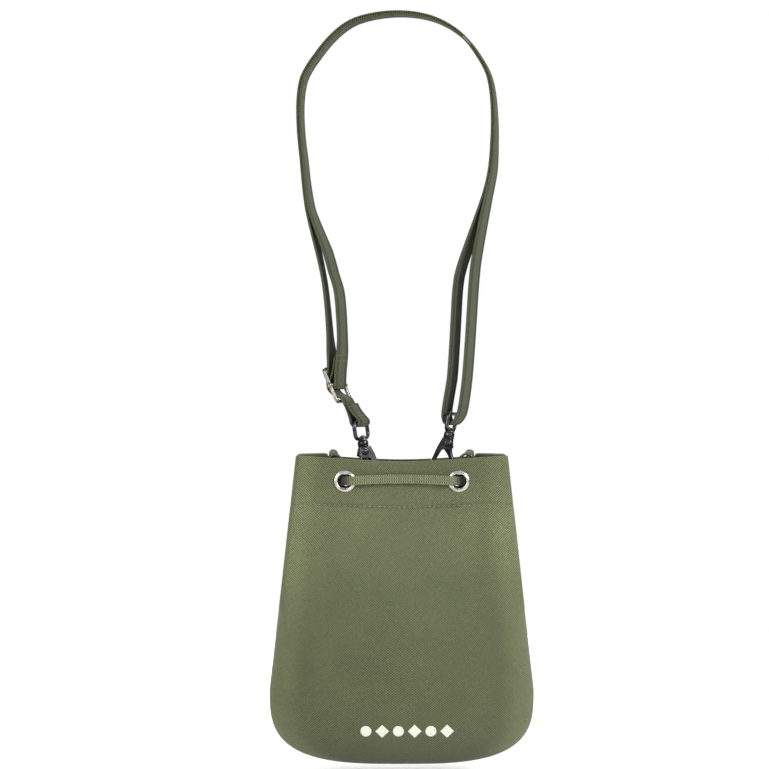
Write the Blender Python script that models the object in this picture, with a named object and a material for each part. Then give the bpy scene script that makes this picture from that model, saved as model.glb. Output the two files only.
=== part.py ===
"""Canvas drawstring shoulder bag, hung from its shortened, doubled webbing strap.

The model's origin is under the crown of the strap: +Z is up, -Y is the front of the bag
and +X is to the right seen from the front. Numbers are in millimetres until a mesh is
made, and each function makes one kind of piece.
"""

import math

import bmesh
import bpy
from mathutils import Matrix, Vector

MM = 0.001
GAP = 0.3  # between neighbours that touch on the real bag

# Bag body. Heights are above the lowest point of the bottom seam.
BOTTOM_Z = -578.6
RIM_SIDE = 240.2
RIM_MIDDLE = 234.8
WIDEST = 102.2  # half the width, at the top of the rounded bottom corners
CORNER_HEIGHT = 58.0
CORNER_POWER = 3.2
RIM_HALF_WIDTH = 81.1
GRID_CORNER = 90.0  # where the bottom edge of the panel's grid becomes its side edge
BELLY_HEIGHT = 75.0
BELLY_DEPTH = 35.0
MOUTH_DEPTH = 26.0
MOUTH_STRAIGHT = 200.0  # the walls are straight above this height
SECTION_POWER = 2.3
PLEAT_START = 90.0
CANVAS = 1.2
HEM_CANVAS = 1.0
HEM_DEPTH = 38.0
SEAM_HALF_GAP = 0.15

# The pleat that the drawcord pulls into each side of the mouth.
FOLD_RADIUS = 4.3
VALLEY_RADIUS = 4.0
VALLEY_X = 59.5
PLEAT_ANGLE = math.radians(25)

# Eyelets and drawcord
EYELET_Z = -359.0
EYELET_X = 43.5
EYELET_HOLE = 5.5
EYELET_BARREL = 6.0
EYELET_FLANGE = 8.25
CORD_WIDTH = 7.0
CORD_THICK = 1.6
KNOT_Y = 30.6
TAIL_LENGTH = 62.0

# Strap
WEB_WIDTH = 20.0
WEB_THICK = 1.4
LAYER = WEB_THICK + GAP

# Slide buckle: centre, and the lean of its frame seen from the front
SLIDER = Vector((-49.8, 0, -285.8))
SLIDER_YAW = 25.0
SLIDER_HALF = 13.9
SLIDER_HALF_WIDTH = 12.5
SLIDER_WIRE = 1.5
SLIDER_BAR = 1.4

# Snap hooks. Heights are along the hook's axis, from the wire's centre at the bottom.
HOOKS = {
    "right": {"foot": Vector((30.4, 0, -357.6)), "lean": 10.5, "lever": -1, "turn": 0.0, "bow": 16.0},
    "left": {"foot": Vector((-25.3, 0, -364.2)), "lean": -8.0, "lever": 1, "turn": 18.0, "bow": 23.0},
}
CROOK_RADIUS = 8.5
CROOK_WIRE = 1.8
RIVET_UP = 27.6
RIVET_ASIDE = -0.5
NECK = (32.0, 35.9)
BOSS = (36.2, 39.2)
BOW_TOP = 50.6
BOW_WIRE = 1.6
BOW_HALF_WIDTH = 12.2

# D-rings on the tabs inside the mouth
RING_WIRE = 1.5
RING_HALF_WIDTH = 11.6
RING_DEPTH = 18.7
TAB_BEND = Vector((52.0, 0, -341.0))
TAB_WIDTH = 19.0


def material(name, color, roughness, metallic=0.0):
    found = bpy.data.materials.get(name)
    if found:
        return found
    made = bpy.data.materials.new(name)
    made.use_nodes = True
    shader = made.node_tree.nodes["Principled BSDF"]
    shader.inputs["Base Color"].default_value = (*color, 1)
    shader.inputs["Roughness"].default_value = roughness
    shader.inputs["Metallic"].default_value = metallic
    return made


def canvas():
    return material("olive_canvas", (0.155, 0.175, 0.085), 0.9)


def webbing():
    return material("olive_webbing", (0.085, 0.095, 0.05), 0.85)


def nickel():
    return material("bright_nickel", (0.75, 0.73, 0.68), 0.25, 1.0)


def gunmetal():
    return material("antique_nickel", (0.2, 0.2, 0.21), 0.35, 1.0)


def finish(name, shape, finish_of, origin=(0, 0, 0), smooth=True):
    """Turns a bmesh in millimetres into an object whose origin is the point given."""
    bmesh.ops.recalc_face_normals(shape, faces=shape.faces)
    if shape.calc_volume(signed=True) < 0:
        bmesh.ops.reverse_faces(shape, faces=shape.faces)
    bmesh.ops.translate(shape, verts=shape.verts, vec=-Vector(origin))
    bmesh.ops.scale(shape, verts=shape.verts, vec=(MM, MM, MM))
    mesh = bpy.data.meshes.new(name)
    shape.to_mesh(mesh)
    shape.free()
    if smooth:
        mesh.shade_smooth()
        mesh.set_sharp_from_angle(angle=math.radians(40))
    mesh.materials.append(finish_of)
    made = bpy.data.objects.new(name, mesh)
    made.location = Vector(origin) * MM
    bpy.context.collection.objects.link(made)
    return made


def cut(target, cutter):
    """Subtracts the cutter, which stays in the file as a hidden guide."""
    cutter.hide_render = True
    cutter.display_type = "WIRE"
    boolean = target.modifiers.new(cutter.name, "BOOLEAN")
    boolean.operation = "DIFFERENCE"
    boolean.object = cutter


def join_with(target, other):
    """Adds another solid to the target, and keeps that solid as a hidden guide."""
    cut(target, other)
    target.modifiers[-1].operation = "UNION"


def smooth_route(points, step):
    """A centripetal curve through the points, sampled about once each step."""
    points = [Vector(p) for p in points]
    ends = [2 * points[0] - points[1], *points, 2 * points[-1] - points[-2]]
    route = []
    for a, b, c, d in zip(ends, ends[1:], ends[2:], ends[3:]):
        times = [0.0]
        for p, q in ((a, b), (b, c), (c, d)):
            times.append(times[-1] + math.sqrt((q - p).length))
        count = max(1, round((c - b).length / step))
        for i in range(count):
            t = times[1] + (times[2] - times[1]) * i / count
            route.append(curve_point((a, b, c, d), times, t))
    return route + [points[-1]]


def curve_point(points, times, t):
    """The point at a time on the curve through four points, by repeated blending."""
    level = list(points)
    for span in (1, 2, 3):
        level = [
            level[i].lerp(level[i + 1], (t - times[i]) / (times[i + span] - times[i]))
            for i in range(len(level) - 1)
        ]
    return level[0]


def tangents(points, closed=False):
    found = []
    for i in range(len(points)):
        before = points[i - 1] if i or closed else points[0]
        after = points[(i + 1) % len(points)] if i + 1 < len(points) or closed else points[-1]
        found.append((after - before).normalized())
    return found


def bridge(shape, rings, closed):
    """Faces between rings of vertices, and caps on an open row of them."""
    pairs = list(zip(rings, rings[1:]))
    if closed:
        pairs.append((rings[-1], rings[0]))
    for low, high in pairs:
        for i in range(len(low)):
            j = (i + 1) % len(low)
            shape.faces.new((low[i], low[j], high[j], high[i]))
    if not closed:
        shape.faces.new(rings[0])
        shape.faces.new(rings[-1])


def tube(points, radii, across, sides=10, closed=False, start=0.5):
    """A round bar along points in one plane; across is that plane's normal.

    radii holds (half width in the plane, half width across it) for each point. start is
    where the first corner of a section lies, as a share of one side.
    """
    shape = bmesh.new()
    across = Vector(across).normalized()
    rings = []
    for point, along, (inside, outside) in zip(points, tangents(points, closed), radii):
        side = along.cross(across).normalized()
        ring = []
        for i in range(sides):
            angle = math.tau * (i + start) / sides
            offset = side * inside * math.cos(angle) + across * outside * math.sin(angle)
            ring.append(shape.verts.new(point + offset))
        rings.append(ring)
    bridge(shape, rings, closed)
    return shape


def band(points, widths, width, thick, plane=(0, 1, 0)):
    """A flat band: points in a plane with this normal, and its width's direction at each."""
    shape = bmesh.new()
    rings = []
    for point, along, across in zip(points, tangents(points), widths):
        up = along.cross(Vector(plane)).normalized() * thick / 2
        half = across * width / 2
        corners = (point + up + half, point + up - half, point - up - half, point - up + half)
        rings.append([shape.verts.new(corner) for corner in corners])
    bridge(shape, rings, False)
    return shape


def turned(profile, centre, axis, sides=16):
    """A profile of (radius, height) turned round an axis; radius 0 closes an end."""
    shape = bmesh.new()
    place = Matrix.Translation(centre) @ Vector(axis).to_track_quat("Z", "Y").to_matrix().to_4x4()
    rings = []
    for radius, height in profile:
        if radius:
            ring = [
                shape.verts.new(
                    place
                    @ Vector(
                        (
                            radius * math.cos(math.tau * i / sides),
                            radius * math.sin(math.tau * i / sides),
                            height,
                        )
                    )
                )
                for i in range(sides)
            ]
            rings.append(ring)
    bridge(shape, rings, all(radius for radius, _ in profile))
    return shape


def prism(outline, low, high, place):
    """An outline in the first two axes, from low to high along the third."""
    shape = bmesh.new()
    rings = [[shape.verts.new(place @ Vector((a, b, c))) for a, b in outline] for c in (low, high)]
    bridge(shape, rings, False)
    return shape


# ---- Bag body ----


def smoothstep(low, high, value):
    t = min(1.0, max(0.0, (value - low) / (high - low)))
    return t * t * (3 - 2 * t)


def half_width(height):
    if height < CORNER_HEIGHT:
        down = 1 - height / CORNER_HEIGHT
        return WIDEST * (1 - down**CORNER_POWER) ** (1 / CORNER_POWER)
    taper = (height - CORNER_HEIGHT) / (RIM_SIDE - CORNER_HEIGHT)
    return WIDEST + (RIM_HALF_WIDTH - WIDEST) * taper


def bottom_edge(x):
    across = 1 - (x / WIDEST) ** CORNER_POWER
    return CORNER_HEIGHT * (1 - across ** (1 / CORNER_POWER))


def half_depth(height):
    if height < BELLY_HEIGHT:
        down = 1 - height / BELLY_HEIGHT
        return BELLY_DEPTH * math.sqrt(1 - down**2.2)
    return BELLY_DEPTH + (MOUTH_DEPTH - BELLY_DEPTH) * smoothstep(
        BELLY_HEIGHT, MOUTH_STRAIGHT, height
    )


def arc(centre, radius, start, end, count):
    for i in range(count + 1):
        angle = math.radians(start + (end - start) * i / count)
        yield Vector((centre[0] + radius * math.cos(angle), centre[1] + radius * math.sin(angle)))


def mouth_section():
    """The rim seen from above, from the middle of the front round to the side seam."""
    fold = (RIM_HALF_WIDTH - FOLD_RADIUS, FOLD_RADIUS - MOUTH_DEPTH)
    pleat = math.degrees(PLEAT_ANGLE)
    first = list(arc(fold, FOLD_RADIUS, -90, 90 - pleat, 4))
    valley_x = VALLEY_X + VALLEY_RADIUS
    run = (first[-1].x - valley_x + VALLEY_RADIUS * math.sin(PLEAT_ANGLE)) / math.cos(PLEAT_ANGLE)
    end = first[-1] + run * Vector((-math.cos(PLEAT_ANGLE), math.sin(PLEAT_ANGLE)))
    valley_y = end.y + VALLEY_RADIUS * math.cos(PLEAT_ANGLE)
    second = list(arc((valley_x, valley_y), VALLEY_RADIUS, 270 - pleat, 180, 3))
    front = [Vector((fold[0] * i / 6, -MOUTH_DEPTH)) for i in range(6)]
    wall = [first[-1].lerp(end, i / 3) for i in (1, 2)]
    return front + first + wall + second + [Vector((VALLEY_X, 0))]


def pleat_wall():
    """The two ends of the flat stretch of a pleat, on the right at the front."""
    section = mouth_section()
    return section[10], section[13]


def row_points(level, section):
    """Half a row of the panel's outer face, from its middle to its seam.

    level runs from 0 on the bottom seam to 1 at the rim.
    """
    seam_base = bottom_edge(GRID_CORNER)
    seam_height = seam_base + (RIM_SIDE - seam_base) * level
    depth = half_depth(RIM_MIDDLE * level)
    width = half_width(seam_height)
    pleat = smoothstep(PLEAT_START, MOUTH_STRAIGHT, seam_height)
    lengths = [0.0]
    for p, q in zip(section, section[1:]):
        lengths.append(lengths[-1] + (q - p).length)
    plan = []
    for point, length in zip(section, lengths):
        angle = math.pi / 2 * length / lengths[-1]
        full = Vector(
            (
                width * math.sin(angle) ** (2 / SECTION_POWER),
                -depth * max(0.0, math.cos(angle)) ** (2 / SECTION_POWER),
            )
        )
        plan.append((full.lerp(point, pleat), math.sin(angle) ** (2 / SECTION_POWER)))
    fit = width / max(point.x for point, _ in plan)
    row = []
    for point, u in plan:
        low = (1 - level) * (bottom_edge(u * GRID_CORNER) - u * seam_base)
        middle = (1 - u) * RIM_MIDDLE * level + u * seam_height
        dip = level * (RIM_SIDE - RIM_MIDDLE) * (u * u - u)
        row.append(Vector((point.x * fit, point.y, BOTTOM_Z + low + middle + dip)))
    return row


def mirror_y(point):
    return Vector((point.x, -point.y, point.z))


def panel_grid(levels):
    """Points and outward normals of the front panel, from the left seam to the right."""
    section = mouth_section()
    rows = [row_points(level, section) for level in levels]
    grid = []
    for j, row in enumerate(rows):
        if j:
            below = rows[j - 1]
        elif levels[0] == 0:
            below = [mirror_y(p) for p in rows[1]]
        else:
            below = row
        above = rows[min(j + 1, len(rows) - 1)]
        half = []
        for i, point in enumerate(row):
            left = row[i - 1] if i else Vector((-row[1].x, row[1].y, row[1].z))
            right = row[i + 1] if i + 1 < len(row) else mirror_y(row[i - 1])
            if j == 0 and levels[0] == 0 and i + 1 == len(row):
                right, left = rows[1][i], row[i - 1]
                normal = Vector((1, 0, -1))
            else:
                normal = (right - left).cross(above[i] - below[i])
            half.append((point, normal.normalized()))
        mirrored = [
            (Vector((-p.x, p.y, p.z)), Vector((-n.x, n.y, n.z))) for p, n in reversed(half[1:])
        ]
        grid.append(mirrored + half)
    return grid


def sheet(grid, near, far, side):
    """A closed sheet between two depths under the grid; side is 1 in front, -1 behind."""
    shape = bmesh.new()
    layers = []
    for depth in (near, far):
        layer = []
        for row in grid:
            line = []
            for point, normal in row:
                moved = point - normal * depth
                moved.y = min(moved.y, -SEAM_HALF_GAP) * side
                line.append(shape.verts.new(moved))
            layer.append(line)
        layers.append(layer)
    rows, columns = len(grid), len(grid[0])
    for layer in layers:
        for j in range(rows - 1):
            for i in range(columns - 1):
                shape.faces.new(
                    (layer[j][i], layer[j][i + 1], layer[j + 1][i + 1], layer[j + 1][i])
                )
    near_layer, far_layer = layers
    edge = [(0, i) for i in range(columns)]
    edge += [(j, columns - 1) for j in range(1, rows)]
    edge += [(rows - 1, i) for i in range(columns - 2, -1, -1)]
    edge += [(j, 0) for j in range(rows - 2, 0, -1)]
    for (j, i), (k, m) in zip(edge, edge[1:] + edge[:1]):
        shape.faces.new((near_layer[j][i], near_layer[k][m], far_layer[k][m], far_layer[j][i]))
    return shape


def panels(bag):
    levels = [(j / 13) ** 1.6 for j in range(14)]
    hem = 1 - HEM_DEPTH / RIM_MIDDLE
    hem_levels = [hem, (hem + 1) / 2, 0.998]
    inner = CANVAS + GAP
    made = {}
    for word, side in (("front", 1), ("back", -1)):
        panel = finish(f"{word}_panel", sheet(panel_grid(levels), 0, CANVAS, side), canvas())
        facing = finish(
            f"{word}_hem", sheet(panel_grid(hem_levels), inner, inner + HEM_CANVAS, side), canvas()
        )
        made[side] = (panel, facing)
        for piece in (panel, facing):
            piece.parent = bag
            piece.matrix_parent_inverse = bag.matrix_world.inverted()
    return made


def seam_binding():
    """The folded tape that binds the panels' edges inside, below the tabs."""
    right = []
    for i in range(9):
        x = GRID_CORNER * i / 8
        right.append(Vector((x, 0, BOTTOM_Z + bottom_edge(x))))
    section = mouth_section()
    for i in range(1, 12):
        row = row_points(0.066 * i, section)
        right.append(Vector((row[-1].x, 0, row[-1].z)))
    line = [Vector((-p.x, 0, p.z)) for p in reversed(right[1:])] + right
    outer, inner = CANVAS + 3 * GAP, CANVAS + GAP + 8.0
    shape = bmesh.new()
    rings = []
    for point, along in zip(line, tangents(line)):
        inward = along.cross(Vector((0, 1, 0))).normalized()
        near, far = point + inward * outer, point + inward * inner
        corners = [near + Vector((0, 0.9, 0)), near - Vector((0, 0.9, 0))]
        corners += [far - Vector((0, 0.9, 0)), far + Vector((0, 0.9, 0))]
        rings.append([shape.verts.new(c) for c in corners])
    bridge(shape, rings, False)
    return finish("seam_binding", shape, canvas())


# ---- Eyelets and drawcord ----


def eyelet_places():
    """The middle of each eyelet on the outer face, and the way it faces."""
    start, end = pleat_wall()
    height = EYELET_Z - BOTTOM_Z
    middle = (start + end) / 2
    scale = half_width(height) / RIM_HALF_WIDTH
    normal = Vector((math.sin(PLEAT_ANGLE), math.cos(PLEAT_ANGLE), 0))
    places = {}
    for side, x_sign in (("left", -1), ("right", 1)):
        for word, y_sign in (("front", 1), ("back", -1)):
            places[f"{word}_{side}"] = (
                Vector((x_sign * EYELET_X, -y_sign * MOUTH_DEPTH, EYELET_Z)),
                Vector((0, -y_sign, 0)),
                y_sign,
            )
            places[f"{word}_{side}_pleat"] = (
                Vector((x_sign * middle.x * scale, y_sign * middle.y, EYELET_Z)),
                Vector((x_sign * normal.x, y_sign * normal.y, 0)),
                y_sign,
            )
    return places


def eyelets(layers):
    stack = CANVAS + GAP + HEM_CANVAS
    washer_low = -(stack + 1.5 * GAP)
    flange = [
        (EYELET_HOLE, -(stack + 0.9)),
        (EYELET_BARREL, -(stack + 0.9)),
        (EYELET_BARREL, 1.5 * GAP),
        (EYELET_FLANGE, 1.5 * GAP),
        (7.9, 1.1),
        (6.9, 1.6),
        (6.0, 1.2),
        (EYELET_HOLE, 0.5),
    ]
    washer = [
        (EYELET_BARREL + 0.3, washer_low - 0.8),
        (7.7, washer_low - 0.8),
        (7.7, washer_low),
        (EYELET_BARREL + 0.3, washer_low),
    ]
    hole = [(0, -8), (6.6, -8), (6.6, 4), (0, 4)]
    made = []
    for name, (centre, axis, side) in eyelet_places().items():
        made.append(finish(f"eyelet_{name}", turned(flange, centre, axis), nickel()))
        made.append(finish(f"washer_{name}", turned(washer, centre, axis), nickel()))
        cutter = finish(f"hole_{name}", turned(hole, centre, axis, 16), nickel())
        for layer in layers[side]:
            cut(layer, cutter)
    return made


def drawcord_quarter():
    """The cord from the middle of the front to the middle of the right side."""
    return [
        (0, -28.4),
        (12, -28.5),
        (24, -28.9),
        (32, -29.9),
        (37.2, -29.6),
        (43.3, -24.6),
        (48.2, -20.2),
        (54, -19.6),
        (60, -20.0),
        (65.5, -19.8),
        (70.2, -17.4),
        (72.9, -12.8),
        (75.2, -8.2),
        (76.4, -4),
        (76.5, 0),
    ]


def drawcord():
    """The flat cord, open at the middle of the back, where its knot is."""
    quarter = [Vector((x, y, 0)) for x, y in drawcord_quarter()]
    side = quarter + [mirror_y(p) for p in reversed(quarter[:-1])]
    side[-1] = Vector((6.4, KNOT_Y - 1.6, 0))
    left = [Vector((-p.x, p.y, 0)) for p in side]
    route = smooth_route(list(reversed(left[1:])) + side, 5.0)
    for point in route:
        rise = 1.6 * (1 - min(1.0, abs(point.x) / EYELET_X) ** 2) if point.y < 0 else 0
        point.z = EYELET_Z + rise
    flat = [Vector((p.x, p.y, 0)) for p in route]
    shape = bmesh.new()
    rings = []
    for point, along in zip(route, tangents(flat)):
        across = along.cross(Vector((0, 0, 1))) * CORD_THICK / 2
        half = Vector((0, 0, CORD_WIDTH / 2))
        corners = (point + across + half, point + across - half)
        corners += (point - across - half, point - across + half)
        rings.append([shape.verts.new(c) for c in corners])
    bridge(shape, rings, False)
    return finish("drawcord", shape, canvas())


def knot_and_tails(origin):
    knot = bmesh.new()
    bmesh.ops.create_icosphere(knot, subdivisions=2, radius=1)
    bmesh.ops.scale(knot, verts=knot.verts, vec=(6.0, 3.6, 5.0))
    bmesh.ops.translate(knot, verts=knot.verts, vec=(0, KNOT_Y, EYELET_Z))
    made = [finish("drawcord_knot", knot, canvas(), origin)]
    for word, side in (("left", -1), ("right", 1)):
        route = []
        for i in range(13):
            t = i / 12
            x = side * (2.9 + CORD_WIDTH / 2 * min(1.0, 0.35 + t) + 5.0 * t * t)
            route.append(Vector((x, KNOT_Y + 1.6 * t, EYELET_Z - 5.4 - TAIL_LENGTH * t)))
        flat = [Vector((0, p.y, p.z)) for p in route]
        shape = bmesh.new()
        rings = []
        for point, along, line in zip(route, tangents(route), tangents(flat)):
            across = along.cross(Vector((0, 1, 0))).normalized() * CORD_WIDTH / 2
            thick = line.cross(Vector((1, 0, 0))) * CORD_THICK / 2
            corners = (point + across + thick, point + across - thick)
            corners += (point - across - thick, point - across + thick)
            rings.append([shape.verts.new(c) for c in corners])
        bridge(shape, rings, False)
        made.append(finish(f"drawcord_tail_{word}", shape, canvas(), origin))
    return made


# ---- Strap ----


def width_direction(yaw):
    angle = math.radians(yaw)
    return Vector((math.sin(angle), math.cos(angle), 0))


def doubled_run(offset):
    """One layer of the doubled strap as (x, yaw, z), from the left to the right.

    A positive offset is outside the strap's loop. The yaw is the turn of the webbing's
    width away from straight back.
    """
    run = [
        (-70.6, 16, -149.4),
        (-75.4, 11, -111.5),
        (-78.3, 9, -79),
        (-75.7, 9, -49.5),
        (-65.2, 9, -31.7),
        (-51.5, 9, -15.4),
        (-35.4, 9, -4.2),
        (-3.2, 9, 1.6),
        (25.8, 9, -2.8),
        (47.4, 9, -15.7),
        (60.6, 9, -32.5),
        (68.3, 9, -48),
        (71.8, 11, -75.1),
        (71.8, 14, -98.7),
        (70.5, 17, -119.2),
        (66.5, 20, -138.5),
    ]
    middle = [Vector((x, 0, z)) for x, _, z in run]
    moved = []
    for point, along, (_, yaw, _) in zip(middle, tangents(middle), run):
        outward = along.cross(Vector((0, 1, 0))) * -offset
        moved.append((point.x - outward.x, yaw, point.z - outward.z))
    return moved


# Runs of webbing as (x, yaw, z). The inner and outer runs start and end on the doubled run.
LEFT_INNER = [(-48.6, 22, -212.0), (-52.2, 22, -200.0), (-57.6, 22, -181.0)]
LEFT_OUTER = [(-64.6, 12, -181.0), (-60.6, 10, -200.0), (-58.7, 10, -212.0)]
RIGHT_TURN = [
    (50.4, 24, -183.0),
    (44.6, 24, -202.4),
    (42.4, 24, -228.0),
    (39.1, 24, -280.7),
    (35.4, 24, -303.0),
    (35.0, 24, -310.5),
    (36.6, 24, -315.0),
    (39.6, 24, -316.0),
    (43.2, 24, -313.5),
    (46.0, 24, -309.0),
    (47.6, 24, -303.0),
    (50.7, 24, -280.7),
    (54.1, 24, -234.5),
    (56.9, 24, -195.8),
    (60.2, 23, -175.5),
]
INNER_RUN = [(-48.4, 22, -212.6), (-46.6, 22, -232.0), (-45.8, 22, -250.0), (-45.9, 23, -258.0)]
SEWN_END = [
    (-45.9, 24, -258.6),
    (-46.1, 25, -266.0),
    (-46.8, 25, -277.0),
    (-47.2, 25, -283.5),
    (-47.5, 25, -287.0),
    (-49.8, 25, -288.3),
    (-51.9, 25, -287.1),
    (-52.3, 25, -284.6),
    (-51.3, 25, -280.5),
    (-49.3, 25, -275.5),
    (-48.1, 25, -270.0),
    (-47.9, 25, -264.5),
]
OUTER_RUN = [
    (-58.6, 10, -212.6),
    (-56.6, 11, -232.0),
    (-55.2, 14, -250.0),
    (-54.1, 21, -263.0),
    (-53.6, 25, -271.0),
    (-53.8, 25, -277.0),
    (-54.4, 25, -283.0),
    (-53.7, 25, -288.0),
    (-50.9, 25, -291.6),
    (-46.3, 25, -294.0),
    (-41.4, 25, -296.0),
]
HOOK_TAB = [
    (-41.0, 25, -296.3),
    (-38.8, 25, -300.0),
    (-36.9, 25, -306.0),
    (-36.1, 25, -311.0),
    (-35.5, 25, -314.6),
    (-34.1, 25, -317.0),
    (-31.8, 25, -317.5),
    (-29.7, 25, -316.0),
    (-29.3, 25, -313.4),
    (-31.2, 25, -310.0),
    (-33.4, 25, -306.6),
    (-35.1, 25, -303.2),
    (-36.1, 25, -299.8),
]


def centred(x, z):
    """A point of the left webbing, slid along its width so that it stays in the buckle."""
    point = Vector((x, 0, z))
    if x > 0:
        return point
    across = width_direction(SLIDER_YAW)
    near = abs(z - SLIDER.z) / SLIDER_HALF
    fade = min(1, max(0, 1.9 - near))
    return point - across * across.dot(point - SLIDER) * fade


def webbing_run(name, rows, step, origin=(0, 0, 0)):
    route = smooth_route(rows, step)
    points = [centred(row.x, row.z) for row in route]
    widths = [width_direction(row.y) for row in route]
    return finish(name, band(points, widths, WEB_WIDTH, WEB_THICK), webbing(), origin)


def strap():
    inner = doubled_run(-LAYER / 2)
    outer = doubled_run(LAYER / 2)
    route = LEFT_INNER + inner + RIGHT_TURN + outer[::-1] + LEFT_OUTER
    webbing_run("strap_webbing", route, 14.0)
    webbing_run("strap_inner_run", INNER_RUN, 9.0)
    webbing_run("strap_outer_run", OUTER_RUN, 4.0)
    webbing_run("strap_hook_tab", HOOK_TAB, 2.5)
    webbing_run("strap_sewn_end", SEWN_END, 2.5, SLIDER)


def slider():
    """The slide buckle: a rounded frame and a riveted centre bar."""
    across = width_direction(SLIDER_YAW)
    down = Vector((0.464, 0, -0.886))
    down = (down - across * down.dot(across)).normalized()
    corner = 3.2
    loop = []
    for along, side, start in ((1, 1, 0), (-1, 1, 90), (-1, -1, 180), (1, -1, 270)):
        middle = Vector((along * (SLIDER_HALF - corner), side * (SLIDER_HALF_WIDTH - corner)))
        loop += list(arc(middle, corner, start, start + 90, 3))
    points = [SLIDER + down * p.x + across * p.y for p in loop]
    radii = [(SLIDER_WIRE, SLIDER_WIRE)] * len(points)
    frame = finish(
        "slider_frame", tube(points, radii, down.cross(across), 8, True), nickel(), SLIDER
    )
    hole = [(0, -18), (1.1, -18), (1.1, 18), (0, 18)]
    cut(frame, finish("hole_slider", turned(hole, SLIDER, across, 12), nickel()))
    head, inside = 14.4, 10.7
    profile = [(0, -15.9), (1.2, -15.6), (1.7, -14.9), (1.7, -head), (0.75, -head)]
    profile += [(0.75, -inside), (SLIDER_BAR, -inside)]
    profile += [(r, -h) for r, h in reversed(profile)]
    finish("slider_bar", turned(profile, SLIDER, across, 12), nickel(), SLIDER)


# ---- Snap hooks ----


def hook_place(side):
    """A hook's own frame: X towards its lever, Y through its rivet, Z up its axis."""
    hook = HOOKS[side]
    lean = Matrix.Rotation(math.radians(hook["lean"]), 4, "Y")
    turn = Matrix.Rotation(math.radians(hook["turn"]), 4, "Z")
    face = Matrix.Rotation(math.pi if hook["lever"] < 0 else 0.0, 4, "Z")
    return Matrix.Translation(hook["foot"]) @ lean @ turn @ face


def bow_place(side):
    hook = HOOKS[side]
    lean = Matrix.Rotation(math.radians(hook["lean"]), 4, "Y")
    turn = Matrix.Rotation(math.radians(-hook["bow"]), 4, "Z")
    return Matrix.Translation(hook["foot"]) @ lean @ turn


def hook_stations():
    """(aside, up, half width in the hook's plane, half thickness) from the neck to the tip."""
    stations = [
        (0, NECK[1], 4.0, 4.0),
        (0, 35.4, 4.3, 4.3),
        (0, NECK[0], 4.3, 4.3),
        (0, 31.5, 4.3, 3.0),
        (-0.3, 27.5, 4.5, 3.0),
        (-1.2, 24.0, 3.6, 2.8),
        (-2.9, 20.5, 2.2, 2.3),
        (-5.2, 16.6, 1.8, 2.1),
    ]
    for i in range(15):
        angle = math.radians(150 + 222 * i / 14)
        aside = CROOK_RADIUS * math.cos(angle)
        up = CROOK_RADIUS + CROOK_RADIUS * math.sin(angle)
        stations.append((aside, up, CROOK_WIRE, CROOK_WIRE + 0.3))
    return stations


def lever_outline():
    return [
        (-3.4, 30.6),
        (4.7, 31.2),
        (7.0, 25.0),
        (9.9, 13.8),
        (10.1, 12.5),
        (7.0, 12.2),
        (3.6, 21.4),
        (1.6, 22.6),
        (-1.6, 22.4),
        (-5.2, 24.6),
        (-4.4, 27.6),
    ]


def snap_hook(side):
    place = hook_place(side)
    normal = place.to_3x3() @ Vector((0, 1, 0))
    foot = HOOKS[side]["foot"]
    rivet = place @ Vector((RIVET_ASIDE, 0, RIVET_UP))
    pin_hole = [(0, -8), (1.5, -8), (1.5, 8), (0, 8)]
    points = [place @ Vector((a, 0, up)) for a, up, _, _ in hook_stations()]
    radii = [(wide, thick) for _, _, wide, thick in hook_stations()]
    body = finish(f"{side}_hook_body", tube(points, radii, normal, 12), gunmetal(), foot)
    cut(body, finish(f"{side}_body_hole", turned(pin_hole, rivet, normal, 12), gunmetal()))

    flip = place @ Matrix.Rotation(math.pi / 2, 4, "X")
    outline = lever_outline()
    shape = prism(outline, -4.2, 4.2, flip)
    lever = finish(f"{side}_gate_lever", shape, gunmetal(), rivet, False)
    channel = [(-9, 34), (3.6, 34), (6.0, 25.0), (9.0, 13.0), (9.6, 9.0), (-9, 9)]
    cut(lever, finish(f"{side}_lever_channel", prism(channel, -3.4, 3.4, flip), gunmetal()))
    cut(lever, finish(f"{side}_lever_hole", turned(pin_hole, rivet, normal, 12), gunmetal()))
    rivet_half = [(0, 5.3), (1.6, 5.2), (2.4, 4.9), (2.4, 4.5), (1.2, 4.5)]
    profile = rivet_half + [(r, -h) for r, h in reversed(rivet_half)]
    finish(f"{side}_gate_rivet", turned(profile[::-1], rivet, normal, 12), nickel(), foot)
    leaf = [(4.85, 26.0), (5.25, 26.1), (6.45, 21.1), (6.05, 21.0)]
    finish(f"{side}_gate_spring", prism(leaf, -2, 2, flip), nickel(), rivet, False)
    bow_and_pin(side)


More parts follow.
